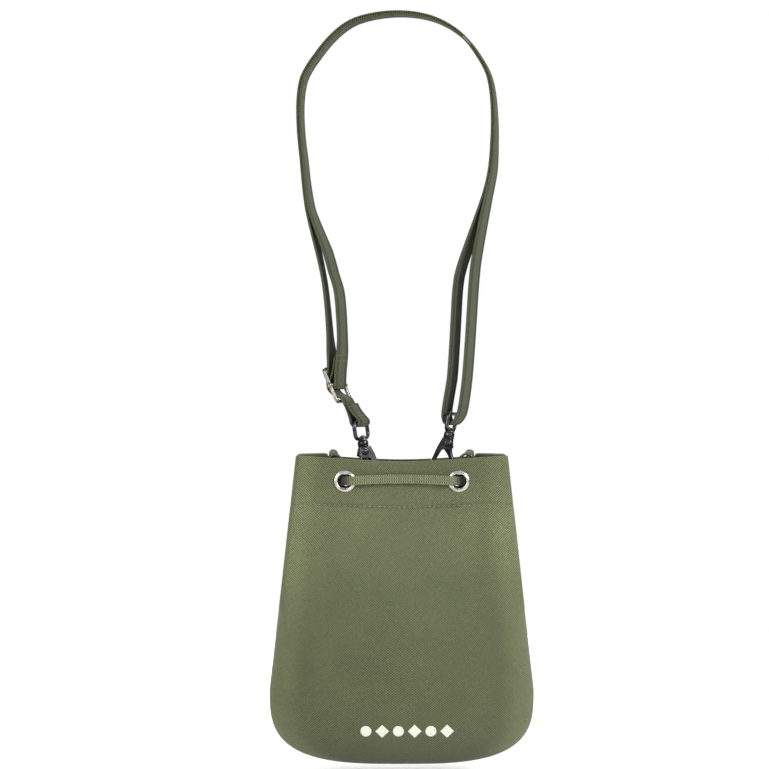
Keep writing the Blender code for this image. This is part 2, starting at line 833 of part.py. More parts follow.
def bow_and_pin(side):
    """The swivel bow that the webbing goes through, and the pin it turns on."""
    place = bow_place(side)
    foot = HOOKS[side]["foot"]
    low, high = BOSS
    middle = (low + high) / 2
    half = [
        (0, middle),
        (4.0, middle),
        (9.2, middle + 0.2),
        (11.9, middle + 2.4),
        (BOW_HALF_WIDTH, middle + 6.4),
        (12.0, BOW_TOP - 2.0),
        (9.9, BOW_TOP),
        (4.0, BOW_TOP),
    ]
    loop = half + [(-y, up) for y, up in reversed(half[1:])]
    points = [place @ Vector((0, y, up)) for y, up in loop]
    facing = place.to_3x3() @ Vector((1, 0, 0))
    radii = [(BOW_WIRE - 0.25, BOW_WIRE)] * len(points)
    bow = finish(f"{side}_swivel_bow", tube(points, radii, facing, 8, True), gunmetal(), foot)
    axis = place.to_3x3() @ Vector((0, 0, 1))
    boss = [(0, low), (3.6, low), (3.9, low + 0.5), (3.9, high - 0.5), (3.6, high), (0, high)]
    join_with(bow, finish(f"{side}_boss", turned(boss, foot, axis, 16), gunmetal()))
    hole = [(0, 30), (1.8, 30), (1.8, 43), (0, 43)]
    cut(bow, finish(f"{side}_boss_hole", turned(hole, foot, axis, 16), gunmetal()))
    bottom = NECK[1] + GAP
    head = high + GAP
    pin = [(0, bottom), (1.45, bottom), (1.45, head), (2.6, head), (2.2, head + 0.8), (0, head + 0.8)]
    finish(f"{side}_swivel_pin", turned(pin, foot, axis, 12), nickel(), foot)


# ---- D-rings and tabs ----


def ring_points(side):
    """The middle of a ring's bow, which lies in its hook, and of its bar, in its tab."""
    hook = HOOKS[side]
    x_sign = 1 if side == "right" else -1
    axis = Matrix.Rotation(math.radians(hook["lean"]), 3, "Y") @ Vector((0, 0, 1))
    bow = hook["foot"] + axis * (CROOK_WIRE + RING_WIRE + GAP)
    bend = Vector((x_sign * TAB_BEND.x, 0, TAB_BEND.z))
    return bow, bow + (bend - bow).normalized() * RING_DEPTH


def d_ring(side):
    bow, bar = ring_points(side)
    towards = (bar - bow).normalized()
    back = Vector((0, 1, 0))
    straight = RING_DEPTH - RING_HALF_WIDTH
    loop = list(arc((straight, 0), RING_HALF_WIDTH, 90, -90, 12))
    loop += [Vector((2.0, -RING_HALF_WIDTH)), Vector((0.5, 0.4 - RING_HALF_WIDTH))]
    loop += [Vector((0, y)) for y in (1.4 - RING_HALF_WIDTH, 0, RING_HALF_WIDTH - 1.4)]
    loop += [Vector((0.5, RING_HALF_WIDTH - 0.4)), Vector((2.0, RING_HALF_WIDTH))]
    points = [bar - towards * p.x + back * p.y for p in loop]
    radii = [(RING_WIRE, RING_WIRE)] * len(points)
    normal = towards.cross(back)
    finish(f"{side}_d_ring", tube(points, radii, normal, 8, True, 0.0), nickel(), bar)


def side_tab(side):
    """Webbing sewn inside the side seam, over the rim and round the ring's bar."""
    x_sign = 1 if side == "right" else -1
    _, bar = ring_points(side)
    around = RING_WIRE + 2 * GAP + WEB_THICK / 2
    outer, inner = 55.7, 55.7 - LAYER
    bend = Vector((50.5, 0, -339.6))
    end = Vector((abs(bar.x), 0, bar.z))
    slope = (bend - end).normalized()
    up = Vector((-slope.z, 0, slope.x))
    if up.z < 0:
        up = -up
    over, under = end + up * around, end - up * around
    tight = up * LAYER / 2
    near = end + slope * (around + 2.6)
    route = [Vector((outer, 0, -362)), Vector((outer, 0, -352)), Vector((outer, 0, -342.5))]
    route += [Vector((54.7, 0, -338.4)), Vector((52.4, 0, -338.0)), near + tight + slope * 1.5]
    route += [over, end - slope * around, under]
    route += [near - tight + slope * 1.5, Vector((51.9, 0, -340.6)), Vector((inner - 0.1, 0, -343.4))]
    route += [Vector((inner, 0, -350)), Vector((inner, 0, -362))]
    route = [Vector((x_sign * p.x, 0, p.z)) for p in smooth_route(route, 2.2)]
    widths = [Vector((0, 1, 0))] * len(route)
    finish(f"{side}_tab", band(route, widths, TAB_WIDTH, WEB_THICK), webbing())


def pivot_empty(name, place):
    empty = bpy.data.objects.new(name, None)
    empty.location = Vector(place) * MM
    bpy.context.collection.objects.link(empty)
    bpy.context.view_layer.update()
    return empty


def hang(names, empty):
    """Parents pieces to an empty on their joint's axis and leaves them where they are."""
    for name in names:
        piece = bpy.data.objects[name]
        piece.parent = empty
        piece.matrix_parent_inverse = empty.matrix_world.inverted()


def main():
    for old in list(bpy.data.objects):
        bpy.data.objects.remove(old)
    swing = (HOOKS["left"]["foot"] + HOOKS["right"]["foot"]) / 2
    bag = pivot_empty("bag_swing_axis", swing)
    layers = panels(bag)
    seam_binding()
    eyelets(layers)
    drawcord()
    knot_and_tails((0, KNOT_Y, EYELET_Z))
    strap()
    slider()
    for side in HOOKS:
        snap_hook(side)
        d_ring(side)
        side_tab(side)
    on_bag = ["seam_binding", "drawcord", "drawcord_knot", "left_tab", "right_tab"]
    on_bag += ["left_d_ring", "right_d_ring", "drawcord_tail_left", "drawcord_tail_right"]
    on_bag += [o.name for o in bpy.data.objects if o.name.startswith(("eyelet_", "washer_", "hole_"))]
    on_bag.remove("hole_slider")
    hang(on_bag, bag)


main()
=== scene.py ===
"""The looks of a canvas drawstring shoulder bag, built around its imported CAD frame.

Lengths are in millimetres until a mesh is made. +Z is up, -Y is the front of the bag and
+X is to the right seen from the front. The origin is under the crown of the strap.
"""

import math

import bmesh
import bpy
from mathutils import Matrix, Vector, noise
from mathutils.bvhtree import BVHTree

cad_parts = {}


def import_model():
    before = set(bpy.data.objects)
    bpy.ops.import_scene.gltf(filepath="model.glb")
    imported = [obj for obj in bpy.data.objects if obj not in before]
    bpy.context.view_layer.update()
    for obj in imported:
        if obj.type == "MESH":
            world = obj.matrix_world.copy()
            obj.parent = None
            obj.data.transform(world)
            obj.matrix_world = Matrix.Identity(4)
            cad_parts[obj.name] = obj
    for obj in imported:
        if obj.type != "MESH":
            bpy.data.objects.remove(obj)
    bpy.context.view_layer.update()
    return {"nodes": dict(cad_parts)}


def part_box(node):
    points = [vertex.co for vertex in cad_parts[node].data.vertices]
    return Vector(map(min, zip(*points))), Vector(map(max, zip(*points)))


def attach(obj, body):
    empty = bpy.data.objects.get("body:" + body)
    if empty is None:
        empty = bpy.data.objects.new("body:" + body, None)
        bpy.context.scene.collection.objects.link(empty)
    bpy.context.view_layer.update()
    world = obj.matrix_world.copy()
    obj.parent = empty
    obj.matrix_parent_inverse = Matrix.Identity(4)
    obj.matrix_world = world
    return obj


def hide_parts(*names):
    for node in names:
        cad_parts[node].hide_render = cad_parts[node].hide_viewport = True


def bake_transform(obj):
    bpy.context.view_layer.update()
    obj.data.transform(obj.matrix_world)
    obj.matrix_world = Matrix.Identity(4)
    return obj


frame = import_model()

MM = 0.001
GAP = 0.3
UP = Vector((0, 0, 1))
BACK = Vector((0, 1, 0))

# Bag body. Heights are above the lowest point of the bottom seam.
BOTTOM_Z = -578.6
RIM_SIDE = 240.2
RIM_MIDDLE = 234.8
WIDEST = 102.2
CORNER_HEIGHT = 58.0
CORNER_POWER = 3.2
RIM_HALF_WIDTH = 81.1
GRID_CORNER = 90.0
BELLY_HEIGHT = 75.0
BELLY_DEPTH = 35.0
MOUTH_DEPTH = 26.0
MOUTH_STRAIGHT = 200.0
SECTION_POWER = 2.3
PLEAT_START = 90.0
CANVAS = 1.2
HEM_CANVAS = 1.0
HEM_DEPTH = 38.0
FOLD_DEPTH = CANVAS + GAP + HEM_CANVAS
SEAM_HALF_GAP = 0.02
FOLD_RADIUS = 4.3
VALLEY_RADIUS = 4.0
VALLEY_X = 59.5
PLEAT_ANGLE = math.radians(25)

EYELET_Z = -359.0
EYELET_X = 43.5
CORD_WIDTH = 7.0
CORD_THICK = 1.6
KNOT_Y = 30.6
TAIL_LENGTH = 62.0

WEB_WIDTH = 20.0
WEB_THICK = 1.4
LAYER = WEB_THICK + GAP
SLIDER = Vector((-49.8, 0, -285.8))
SLIDER_YAW = 25.0
SLIDER_HALF = 13.9
SLIDER_HALF_WIDTH = 12.5

HOOKS = {
    "right": {"foot": Vector((30.4, 0, -357.6)), "lean": 10.5, "lever": -1, "turn": 0.0, "bow": 16.0},
    "left": {"foot": Vector((-25.3, 0, -364.2)), "lean": -8.0, "lever": 1, "turn": 18.0, "bow": 23.0},
}
CROOK_RADIUS = 8.5
CROOK_WIRE = 1.8
RIVET_UP = 27.6
RIVET_ASIDE = -0.5
NECK = (32.0, 35.9)
BOSS = (36.2, 39.2)
BOW_TOP = 50.6
BOW_HALF_WIDTH = 12.2
RING_WIRE = 1.5
RING_HALF_WIDTH = 11.6
RING_DEPTH = 18.7
TAB_BEND = Vector((52.0, 0, -341.0))
TAB_WIDTH = 19.0
TAB_LEAN = 0.2
WEB_SCALLOP = 0.3
TAB_SCALLOP = 0.1
# The ring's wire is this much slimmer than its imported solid, which clears the hook when it lifts.
RING_SLIMMER = 0.12


# ---- Materials ----


class Nodes:
    """Nodes made one call each. An input may be a number or another socket."""

    def __init__(self, owner):
        owner.use_nodes = True
        self.tree = owner.node_tree

    def add(self, kind, inputs=(), **settings):
        made = self.tree.nodes.new(kind)
        for key, value in settings.items():
            setattr(made, key, value)
        for key, value in dict(inputs).items():
            self.feed(made.inputs[key], value)
        return made

    def feed(self, socket, value):
        if isinstance(value, bpy.types.NodeSocket):
            self.tree.links.new(value, socket)
        else:
            socket.default_value = value

    def math(self, operation, a, b=0.0):
        return self.add("ShaderNodeMath", {0: a, 1: b}, operation=operation).outputs[0]

    def noise(self, vector, scale, detail=2.0):
        inputs = {"Vector": vector, "Scale": scale, "Detail": detail}
        return self.add("ShaderNodeTexNoise", inputs).outputs["Fac"]

    def stretched(self, vector, scale):
        return self.add("ShaderNodeMapping", {"Vector": vector, "Scale": scale}).outputs[0]

    def ramp(self, value, stops):
        made = self.add("ShaderNodeValToRGB", {"Fac": value})
        ramp = made.color_ramp
        while len(ramp.elements) < len(stops):
            ramp.elements.new(0.5)
        for element, (place, color) in zip(ramp.elements, stops):
            element.position = place
            element.color = (*color, 1)
        return made.outputs["Color"]

    def scaled(self, color, share):
        inputs = {0: color, "Scale": share}
        return self.add("ShaderNodeVectorMath", inputs, operation="SCALE").outputs[0]


class Shader(Nodes):
    """A material's nodes."""

    def __init__(self, name):
        self.material = bpy.data.materials.new(name)
        super().__init__(self.material)
        self.surface = self.tree.nodes["Principled BSDF"]

    def set(self, **values):
        for key, value in values.items():
            self.feed(self.surface.inputs[key.replace("_", " ").title()], value)

    def bump(self, height, strength, distance):
        inputs = {"Height": height, "Strength": strength, "Distance": distance}
        made = self.add("ShaderNodeBump", inputs)
        self.tree.links.new(made.outputs["Normal"], self.surface.inputs["Normal"])


def woven(name, dark, light, pitch, tinted=False, coords="cloth", bump=0.55, rib=0.0, selvage=False):
    """Woven cotton: crossing threads, thick and thin places in them, and slow blotches."""
    s = Shader(name)
    if coords == "cloth":
        place = s.add("ShaderNodeUVMap", uv_map="cloth").outputs["UV"]
    else:
        place = s.add("ShaderNodeTexCoord").outputs["Object"]
    body = s.add("ShaderNodeTexCoord").outputs["Object"]
    wander = s.noise(body, 260.0, 1.0)
    axes = s.add("ShaderNodeSeparateXYZ", {0: place})
    second = axes.outputs["Y" if coords == "cloth" else "Z"]
    waves = []
    for axis, size in ((axes.outputs["X"], pitch[0]), (second, pitch[1])):
        turns = s.math("MULTIPLY", axis, math.tau / (size * MM))
        shifted = s.math("ADD", turns, s.math("MULTIPLY", wander, 1.2))
        waves.append(s.math("SINE", shifted))
    weave = s.math("MULTIPLY", waves[0], waves[1])
    weft = s.noise(s.stretched(place, (320, 1500, 320)), 1.0)
    warp = s.noise(s.stretched(place, (1500, 320, 1500)), 1.0)
    speck = s.noise(s.stretched(place, (900, 900, 900)), 1.0, 1.0)
    threads = s.math("ADD", s.math("ADD", weft, warp), s.math("MULTIPLY", speck, 0.9))
    blotch = s.noise(body, 24.0, 3.0)
    fibre = s.math("ADD", s.math("MULTIPLY", threads, 0.5), s.math("MULTIPLY", weave, 0.55))
    if rib:
        fibre = s.math("ADD", fibre, s.math("MULTIPLY", waves[1], rib))
    level = s.math("ADD", fibre, s.math("MULTIPLY", blotch, 0.3))
    level = s.math("SUBTRACT", level, 0.375)
    color = s.ramp(level, [(0.18, dark), (0.82, light)])
    # The tint layer holds painted light and shade, which scales the cloth's colour.
    if tinted:
        tint = s.add("ShaderNodeUVMap", uv_map="tint").outputs["UV"]
        share = s.add("ShaderNodeSeparateXYZ", {0: tint}).outputs["X"]
        color = s.scaled(color, share)
    # Painted shade: darker bands just inside both edges of the webbing, with the rounded edges left light.
    if selvage:
        off_centre = s.math("ABSOLUTE", s.math("SUBTRACT", axes.outputs["X"], WEB_WIDTH * MM))
        share = s.math("DIVIDE", off_centre, WEB_WIDTH / 2 * MM)
        stops = [(0.5, (1, 1, 1)), (0.6, (0.22, 0.22, 0.22)), (0.8, (0.22, 0.22, 0.22)), (0.88, (1, 1, 1))]
        line = s.ramp(share, stops)
        color = s.scaled(color, line)
    rough = s.math("ADD", s.math("MULTIPLY", fibre, 0.12), 0.84)
    s.set(base_color=color, roughness=rough, sheen_weight=0.12, sheen_roughness=0.6)
    s.surface.inputs["Specular IOR Level"].default_value = 0.18
    s.bump(s.math("ADD", weave, threads), bump, 0.00022)
    return s.material


def metal(name, low, high, rough, wear, brushing=0.12):
    """Plated metal: fine brushing, faint handling marks, and darker plate in patches."""
    s = Shader(name)
    body = s.add("ShaderNodeTexCoord").outputs["Object"]
    patch = s.noise(body, 170.0, 4.0)
    brushed = s.noise(s.stretched(body, (400, 400, 4200)), 1.0, 3.0)
    mark = s.noise(body, 900.0, 3.0)
    mixed = s.math("ADD", s.math("MULTIPLY", patch, wear), s.math("MULTIPLY", mark, 1 - wear))
    color = s.ramp(mixed, [(0.3, low), (0.68, high)])
    varied = s.math("ADD", s.math("MULTIPLY", mixed, 0.16), rough - 0.08)
    s.set(base_color=color, roughness=varied, metallic=1.0)
    s.bump(s.math("ADD", brushed, mark), brushing, 0.00006)
    return s.material


def printed(name):
    """Screen ink, which the weave under it breaks up a little."""
    s = Shader(name)
    body = s.add("ShaderNodeTexCoord").outputs["Object"]
    grain = s.noise(s.stretched(body, (1400, 1400, 1400)), 1.0, 2.0)
    color = s.ramp(grain, [(0.25, (0.36, 0.36, 0.29)), (0.5, (0.7, 0.69, 0.61))])
    s.set(base_color=color, roughness=0.8)
    s.bump(grain, 0.4, 0.00015)
    return s.material


CANVAS_DARK, CANVAS_LIGHT = (0.034, 0.04, 0.018), (0.13, 0.143, 0.071)
WEB_DARK, WEB_LIGHT = (0.016, 0.02, 0.006), (0.092, 0.106, 0.046)
canvas = woven("canvas_cloth", CANVAS_DARK, CANVAS_LIGHT, (1.9, 1.9), tinted=True)
CORD_DARK, CORD_LIGHT = (0.045, 0.052, 0.024), (0.21, 0.232, 0.124)
cord_canvas = woven("drawcord_cloth", CORD_DARK, CORD_LIGHT, (2.4, 1.75), True, bump=0.9, rib=0.3)
plain_canvas = woven("binding_cloth", CANVAS_DARK, CANVAS_LIGHT, (1.45, 1.45), coords="object")
webbing = woven("strap_webbing_cloth", WEB_DARK, WEB_LIGHT, (1.25, 1.7), bump=0.8, selvage=True)
thread = woven("sewing_thread", (0.1, 0.112, 0.055), (0.25, 0.27, 0.16), (0.3, 0.3), coords="object")
pale_thread = woven("pale_thread", (0.13, 0.14, 0.085), (0.3, 0.32, 0.21), (0.3, 0.3), coords="object")
nickel = metal("bright_nickel", (0.4, 0.385, 0.34), (0.78, 0.76, 0.7), 0.3, 0.7, 0.04)
buckle_metal = metal("worn_nickel", (0.1, 0.095, 0.085), (0.4, 0.385, 0.34), 0.33, 0.7, 0.05)
gunmetal = metal("antique_nickel", (0.02, 0.02, 0.022), (0.13, 0.13, 0.136), 0.34, 0.7, 0.06)
ink = printed("screen_ink")


# ---- Mesh helpers ----


def make(name, points, faces, finish, uv=None, tint=None, sharp=40):
    """An object from points in millimetres. uv is in metres of cloth, one for each point."""
    mesh = bpy.data.meshes.new(name)
    mesh.from_pydata([tuple(c * MM for c in p) for p in points], [], faces)
    for layer_name, values in (("cloth", uv), ("tint", tint)):
        if values is None:
            continue
        layer = mesh.uv_layers.new(name=layer_name)
        for loop in mesh.loops:
            layer.data[loop.index].uv = values[loop.vertex_index]
    shape = bmesh.new()
    shape.from_mesh(mesh)
    bmesh.ops.recalc_face_normals(shape, faces=shape.faces)
    shape.to_mesh(mesh)
    shape.free()
    mesh.shade_smooth()
    mesh.set_sharp_from_angle(angle=math.radians(sharp))
    mesh.materials.append(finish)
    made = bpy.data.objects.new(name, mesh)
    bpy.context.collection.objects.link(made)
    return made


def ring_faces(count, sides, closed=False, first=0, cap=True):
    """Quads between rings of points that follow each other, and caps on an open row."""
    faces = []
    for k in range(count if closed else count - 1):
        low, high = first + k * sides, first + (k + 1) % count * sides
        for i in range(sides):
            j = (i + 1) % sides
            faces.append((low + i, low + j, high + j, high + i))
    if cap and not closed:
        faces.append(tuple(first + i for i in range(sides)))
        faces.append(tuple(first + (count - 1) * sides + i for i in range(sides)))
    return faces


def loft(name, rings, finish, closed=False, uv=None, sharp=40, tint=None):
    points = [p for ring in rings for p in ring]
    flat = [c for ring in uv for c in ring] if uv else None
    shades = [(tint(p), 0.5) for p in points] if tint else None
    faces = ring_faces(len(rings), len(rings[0]), closed)
    return make(name, points, faces, finish, flat, shades, sharp=sharp)


def joined(name, shapes, finish, sharp=40):
    """One object from several sets of rings, each (rings, closed)."""
    points, faces = [], []
    for rings, closed in shapes:
        faces += ring_faces(len(rings), len(rings[0]), closed, len(points))
        points += [p for ring in rings for p in ring]
    return make(name, points, faces, finish, sharp=sharp)


def place(piece, body, slot, *nodes):
    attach(piece, body)
    if nodes:
        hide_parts(*nodes)
    return piece


def fitted(name, shapes, finish, body, slot, *nodes, sharp=40):
    """A joined piece, put on its body."""
    return place(joined(name, shapes, finish, sharp), body, slot, *nodes)


def curve_point(points, times, t):
    level = list(points)
    for span in (1, 2, 3):
        level = [
            level[i].lerp(level[i + 1], (t - times[i]) / (times[i + span] - times[i]))
            for i in range(len(level) - 1)
        ]
    return level[0]


def smooth_route(points, step):
    """A centripetal curve through the points, and the index of each point on it."""
    points = [Vector(p) for p in points]
    ends = [2 * points[0] - points[1], *points, 2 * points[-1] - points[-2]]
    route, marks = [], []
    for a, b, c, d in zip(ends, ends[1:], ends[2:], ends[3:]):
        times = [0.0]
        for p, q in ((a, b), (b, c), (c, d)):
            times.append(times[-1] + math.sqrt((q - p).length))
        count = max(1, round((c - b).length / step))
        marks.append(len(route))
        for i in range(count):
            t = times[1] + (times[2] - times[1]) * i / count
            route.append(curve_point((a, b, c, d), times, t))
    return route + [points[-1]], marks + [len(route)]


def tangents(points, closed=False):
    found = []
    for i in range(len(points)):
        before = points[i - 1] if i or closed else points[0]
        after = points[(i + 1) % len(points)] if i + 1 < len(points) or closed else points[-1]
        found.append((after - before).normalized())
    return found


def lengths_along(points):
    found = [0.0]
    for p, q in zip(points, points[1:]):
        found.append(found[-1] + (q - p).length)
    return found


def tube_rings(points, radii, across, sides=20, closed=False, groove=0.0):
    """Rings of a bar along points in one plane, whose normal is across.

    radii holds (half width in the plane, half width across it). groove sinks a channel
    this deep along the outer side, which leaves a ridge on each side of it.
    """
    across = Vector(across).normalized()
    rings = []
    for point, along, (inside, outside) in zip(points, tangents(points, closed), radii):
        side = along.cross(across).normalized()
        ring = []
        for i in range(sides):
            angle = math.tau * (i + 0.5) / sides
            dip = 1 - groove * math.exp(-((math.cos(angle) - 1) ** 2) / 0.02)
            offset = side * inside * math.cos(angle) * dip + across * outside * math.sin(angle)
            ring.append(point + offset)
        rings.append(ring)
    return rings


def turned_rings(profile, centre, axis, sides=40):
    turn = Vector(axis).to_track_quat("Z", "Y").to_matrix().to_4x4()
    spot = Matrix.Translation(centre) @ turn
    return [
        [
            spot @ Vector((r * math.cos(math.tau * i / sides), r * math.sin(math.tau * i / sides), h))
            for i in range(sides)
        ]
        for r, h in profile
    ]


def flat_section(width, thick, across=8):
    """A flat band's section with round selvages, as (aside, up, on the selvage)."""
    half, radius = width / 2, thick / 2
    section = []
    for sign in (1, -1):
        for i in range(across):
            section.append((sign * (half - radius) * (1 - 2 * i / (across - 1)), sign * radius, 0))
        for angle in (45, 90, 135):
            turn = math.radians(angle)
            aside = -sign * (half - radius + radius * math.sin(turn))
            section.append((aside, sign * radius * math.cos(turn), 1))
    return section


def flat_rings(centres, asides, ups, width, thick, serration=0.0):
    """Rings and cloth coordinates of a band."""
    section = flat_section(width, thick)
    rings, coords = [], []
    for k, (centre, aside, up, run) in enumerate(
        zip(centres, asides, ups, lengths_along(centres))
    ):
        grow = serration * (k % 2)
        ring, line = [], []
        for across, rise, edge in section:
            shift = math.copysign(grow * edge, across)
            ring.append(centre + aside * (across + shift) + up * rise)
            line.append(((across + width) * MM, run * MM))
        rings.append(ring)
        coords.append(line)
    return rings, coords


def stitches(name, lines, finish, length=2.6, space=0.9, radius=0.32, lift=0.12):
    """Thread lying on a surface: each line is a list of (point, outward normal)."""
    points, faces = [], []
    sides, stations = 6, ((0.0, 0.35), (0.15, 0.9), (0.5, 1.0), (0.85, 0.9), (1.0, 0.35))
    for line in lines:
        runs = lengths_along([p for p, _ in line])
        count = int((runs[-1] + space) // (length + space))
        start = (runs[-1] - count * (length + space) + space) / 2
        for k in range(count):
            first = start + k * (length + space)
            a, normal = on_line(line, runs, first)
            b, _ = on_line(line, runs, first + length)
            along = b - a
            aside = along.normalized().cross(normal).normalized()
            base = len(points)
            for share, wide in stations:
                sink = lift + radius * 0.5 - 1.1 * radius * (2 * share - 1) ** 4
                centre = a + along * share + normal * sink
                for i in range(sides):
                    angle = math.tau * i / sides
                    offset = aside * math.cos(angle) + normal * math.sin(angle)
                    points.append(centre + offset * radius * wide)
            faces += ring_faces(len(stations), sides, first=base)
    return make(name, points, faces, finish, sharp=80)


def on_line(line, runs, want):
    for k in range(len(line) - 1):
        if want <= runs[k + 1] or k == len(line) - 2:
            share = (want - runs[k]) / max(runs[k + 1] - runs[k], 1e-6)
            return line[k][0].lerp(line[k + 1][0], share), line[k][1]


# ---- Bag body ----


def smoothstep(low, high, value):
    t = min(1.0, max(0.0, (value - low) / (high - low)))
    return t * t * (3 - 2 * t)


def half_width(height):
    if height < CORNER_HEIGHT:
        down = 1 - height / CORNER_HEIGHT
        return WIDEST * (1 - down**CORNER_POWER) ** (1 / CORNER_POWER)
    taper = (height - CORNER_HEIGHT) / (RIM_SIDE - CORNER_HEIGHT)
    return WIDEST + (RIM_HALF_WIDTH - WIDEST) * taper


def bottom_edge(x):
    across = 1 - (x / WIDEST) ** CORNER_POWER
    return CORNER_HEIGHT * (1 - across ** (1 / CORNER_POWER))


def half_depth(height):
    if height < BELLY_HEIGHT:
        down = 1 - height / BELLY_HEIGHT
        return BELLY_DEPTH * math.sqrt(1 - down**2.2)
    sunk = (MOUTH_DEPTH - BELLY_DEPTH) * smoothstep(BELLY_HEIGHT, MOUTH_STRAIGHT, height)
    return BELLY_DEPTH + sunk


def arc(centre, radius, start, end, count):
    for i in range(count + 1):
        angle = math.radians(start + (end - start) * i / count)
        yield Vector((centre[0] + radius * math.cos(angle), centre[1] + radius * math.sin(angle)))


def mouth_section(fine):
    """The rim seen from above, from the middle of the front round to the side seam."""
    fold = (RIM_HALF_WIDTH - FOLD_RADIUS, FOLD_RADIUS - MOUTH_DEPTH)
    pleat = math.degrees(PLEAT_ANGLE)
    first = list(arc(fold, FOLD_RADIUS, -90, 90 - pleat, 4 * fine))
    valley_x = VALLEY_X + VALLEY_RADIUS
    run = (first[-1].x - valley_x + VALLEY_RADIUS * math.sin(PLEAT_ANGLE)) / math.cos(PLEAT_ANGLE)
    end = first[-1] + run * Vector((-math.cos(PLEAT_ANGLE), math.sin(PLEAT_ANGLE)))
    valley_y = end.y + VALLEY_RADIUS * math.cos(PLEAT_ANGLE)
    second = list(arc((valley_x, valley_y), VALLEY_RADIUS, 270 - pleat, 180, 3 * fine))
    flat = 6 * fine
    front = [Vector((fold[0] * i / flat, -MOUTH_DEPTH)) for i in range(flat)]
    steps = 3 * fine
    wall = [first[-1].lerp(end, i / steps) for i in range(1, steps)]
    last = [Vector((VALLEY_X, valley_y + (0 - valley_y) * i / 3)) for i in (1, 2, 3)]
    return front + first + wall + second + last, (first[-1], end)


SECTION, PLEAT_WALL = mouth_section(4)
SECTION_RUNS = lengths_along([Vector((*p, 0)) for p in SECTION])


def row_points(level):
    """Half a row of the panel's outer face, from its middle to its seam."""
    seam_base = bottom_edge(GRID_CORNER)
    seam_height = seam_base + (RIM_SIDE - seam_base) * level
    depth = half_depth(RIM_MIDDLE * level)
    width = half_width(seam_height)
    pleat = smoothstep(PLEAT_START, MOUTH_STRAIGHT, seam_height)
    plan = []
    for point, run in zip(SECTION, SECTION_RUNS):
        angle = math.pi / 2 * run / SECTION_RUNS[-1]
        aside = math.sin(angle) ** (2 / SECTION_POWER)
        full = Vector((width * aside, -depth * max(0.0, math.cos(angle)) ** (2 / SECTION_POWER)))
        plan.append((full.lerp(point, pleat), aside))
    fit = width / max(point.x for point, _ in plan)
    row = []
    for point, u in plan:
        low = (1 - level) * (bottom_edge(u * GRID_CORNER) - u * seam_base)
        middle = (1 - u) * RIM_MIDDLE * level + u * seam_height
        dip = level * (RIM_SIDE - RIM_MIDDLE) * (u * u - u)
        row.append(Vector((point.x * fit, point.y, BOTTOM_Z + low + middle + dip)))
    return row


def mirror_y(point):
    return Vector((point.x, -point.y, point.z))


def panel_grid(levels):
    """Points and outward normals of the front panel, from the left seam to the right."""
    rows = [row_points(level) for level in levels]
    grid = []
    for j, row in enumerate(rows):
        if j:
            below = rows[j - 1]
        else:
            below = [mirror_y(p) for p in rows[1]] if levels[0] == 0 else row
        above = rows[min(j + 1, len(rows) - 1)]
        half = []
        for i, point in enumerate(row):
            left = row[i - 1] if i else Vector((-row[1].x, row[1].y, row[1].z))
            right = row[i + 1] if i + 1 < len(row) else mirror_y(row[i - 1])
            if j == 0 and levels[0] == 0 and i + 1 == len(row):
                normal = Vector((1, 0, -1))
            else:
                normal = (right - left).cross(above[i] - below[i])
            half.append((point, normal.normalized()))
        mirrored = [(Vector((-p.x, p.y, p.z)), Vector((-n.x, n.y, n.z))) for p, n in reversed(half[1:])]
        grid.append(mirrored + half)
    return grid


def bump_at(x, z, at_x, at_z, wide, tall):
    return math.exp(-(((x - at_x) / wide) ** 2) - ((z - at_z) / tall) ** 2)


def wrinkle(point, side):
    """How far the canvas stands out from its smooth shape, in millimetres."""
    x, z = point.x, point.z
    seed = 11.0 if side > 0 else 47.0
    low = 1 - smoothstep(-404, -384, z)
    seam = 1 - smoothstep(0.8, 0.97, abs(x) / max(1.0, half_width(z - BOTTOM_Z)))
    base = smoothstep(BOTTOM_Z + 3, BOTTOM_Z + 30, z)
    slow = noise.noise(Vector((x / 52, seed, z / 60)))
    creases = noise.noise(Vector((x / 46, seed + 5, z / 11)))
    fine = noise.noise(Vector((x / 15, seed + 9, z / 15)))
    out = (1.8 * slow + 0.5 * creases + 0.25 * fine) * low * seam * base
    for sign in (-1, 1):
        out -= 1.5 * bump_at(x, z, sign * 78.5, -501.6, 11, 20) * base
        out += 0.7 * bump_at(x, z, sign * 90, -480, 5, 45) * seam
        out -= 1.1 * bump_at(x, z, sign * 58, -402, 5, 26)
        out += 0.8 * bump_at(x, z, sign * 66, -408, 4, 30)
        far = math.hypot(x - sign * EYELET_X, z - EYELET_Z)
        turn = math.atan2(z - EYELET_Z, x - sign * EYELET_X)
        ray = math.cos(7 * turn + seed) * smoothstep(8.5, 12, far) * math.exp(-far / 13)
        out += 0.8 * ray
    band = math.exp(-(((z - EYELET_Z + 1) / 6.0) ** 2)) * (1 - smoothstep(30, 38, abs(x)))
    out -= 0.25 * band
    rim = smoothstep(-384, -370, z) * (1 - smoothstep(60, 72, abs(x)))
    out += 0.3 * noise.noise(Vector((x / 14, seed + 3, z / 7))) * rim
    return out


def hem_line(x):
    """The height of the hem's stitches."""
    return -378.6 + 2.6 * min(1.0, abs(x) / 75) ** 2


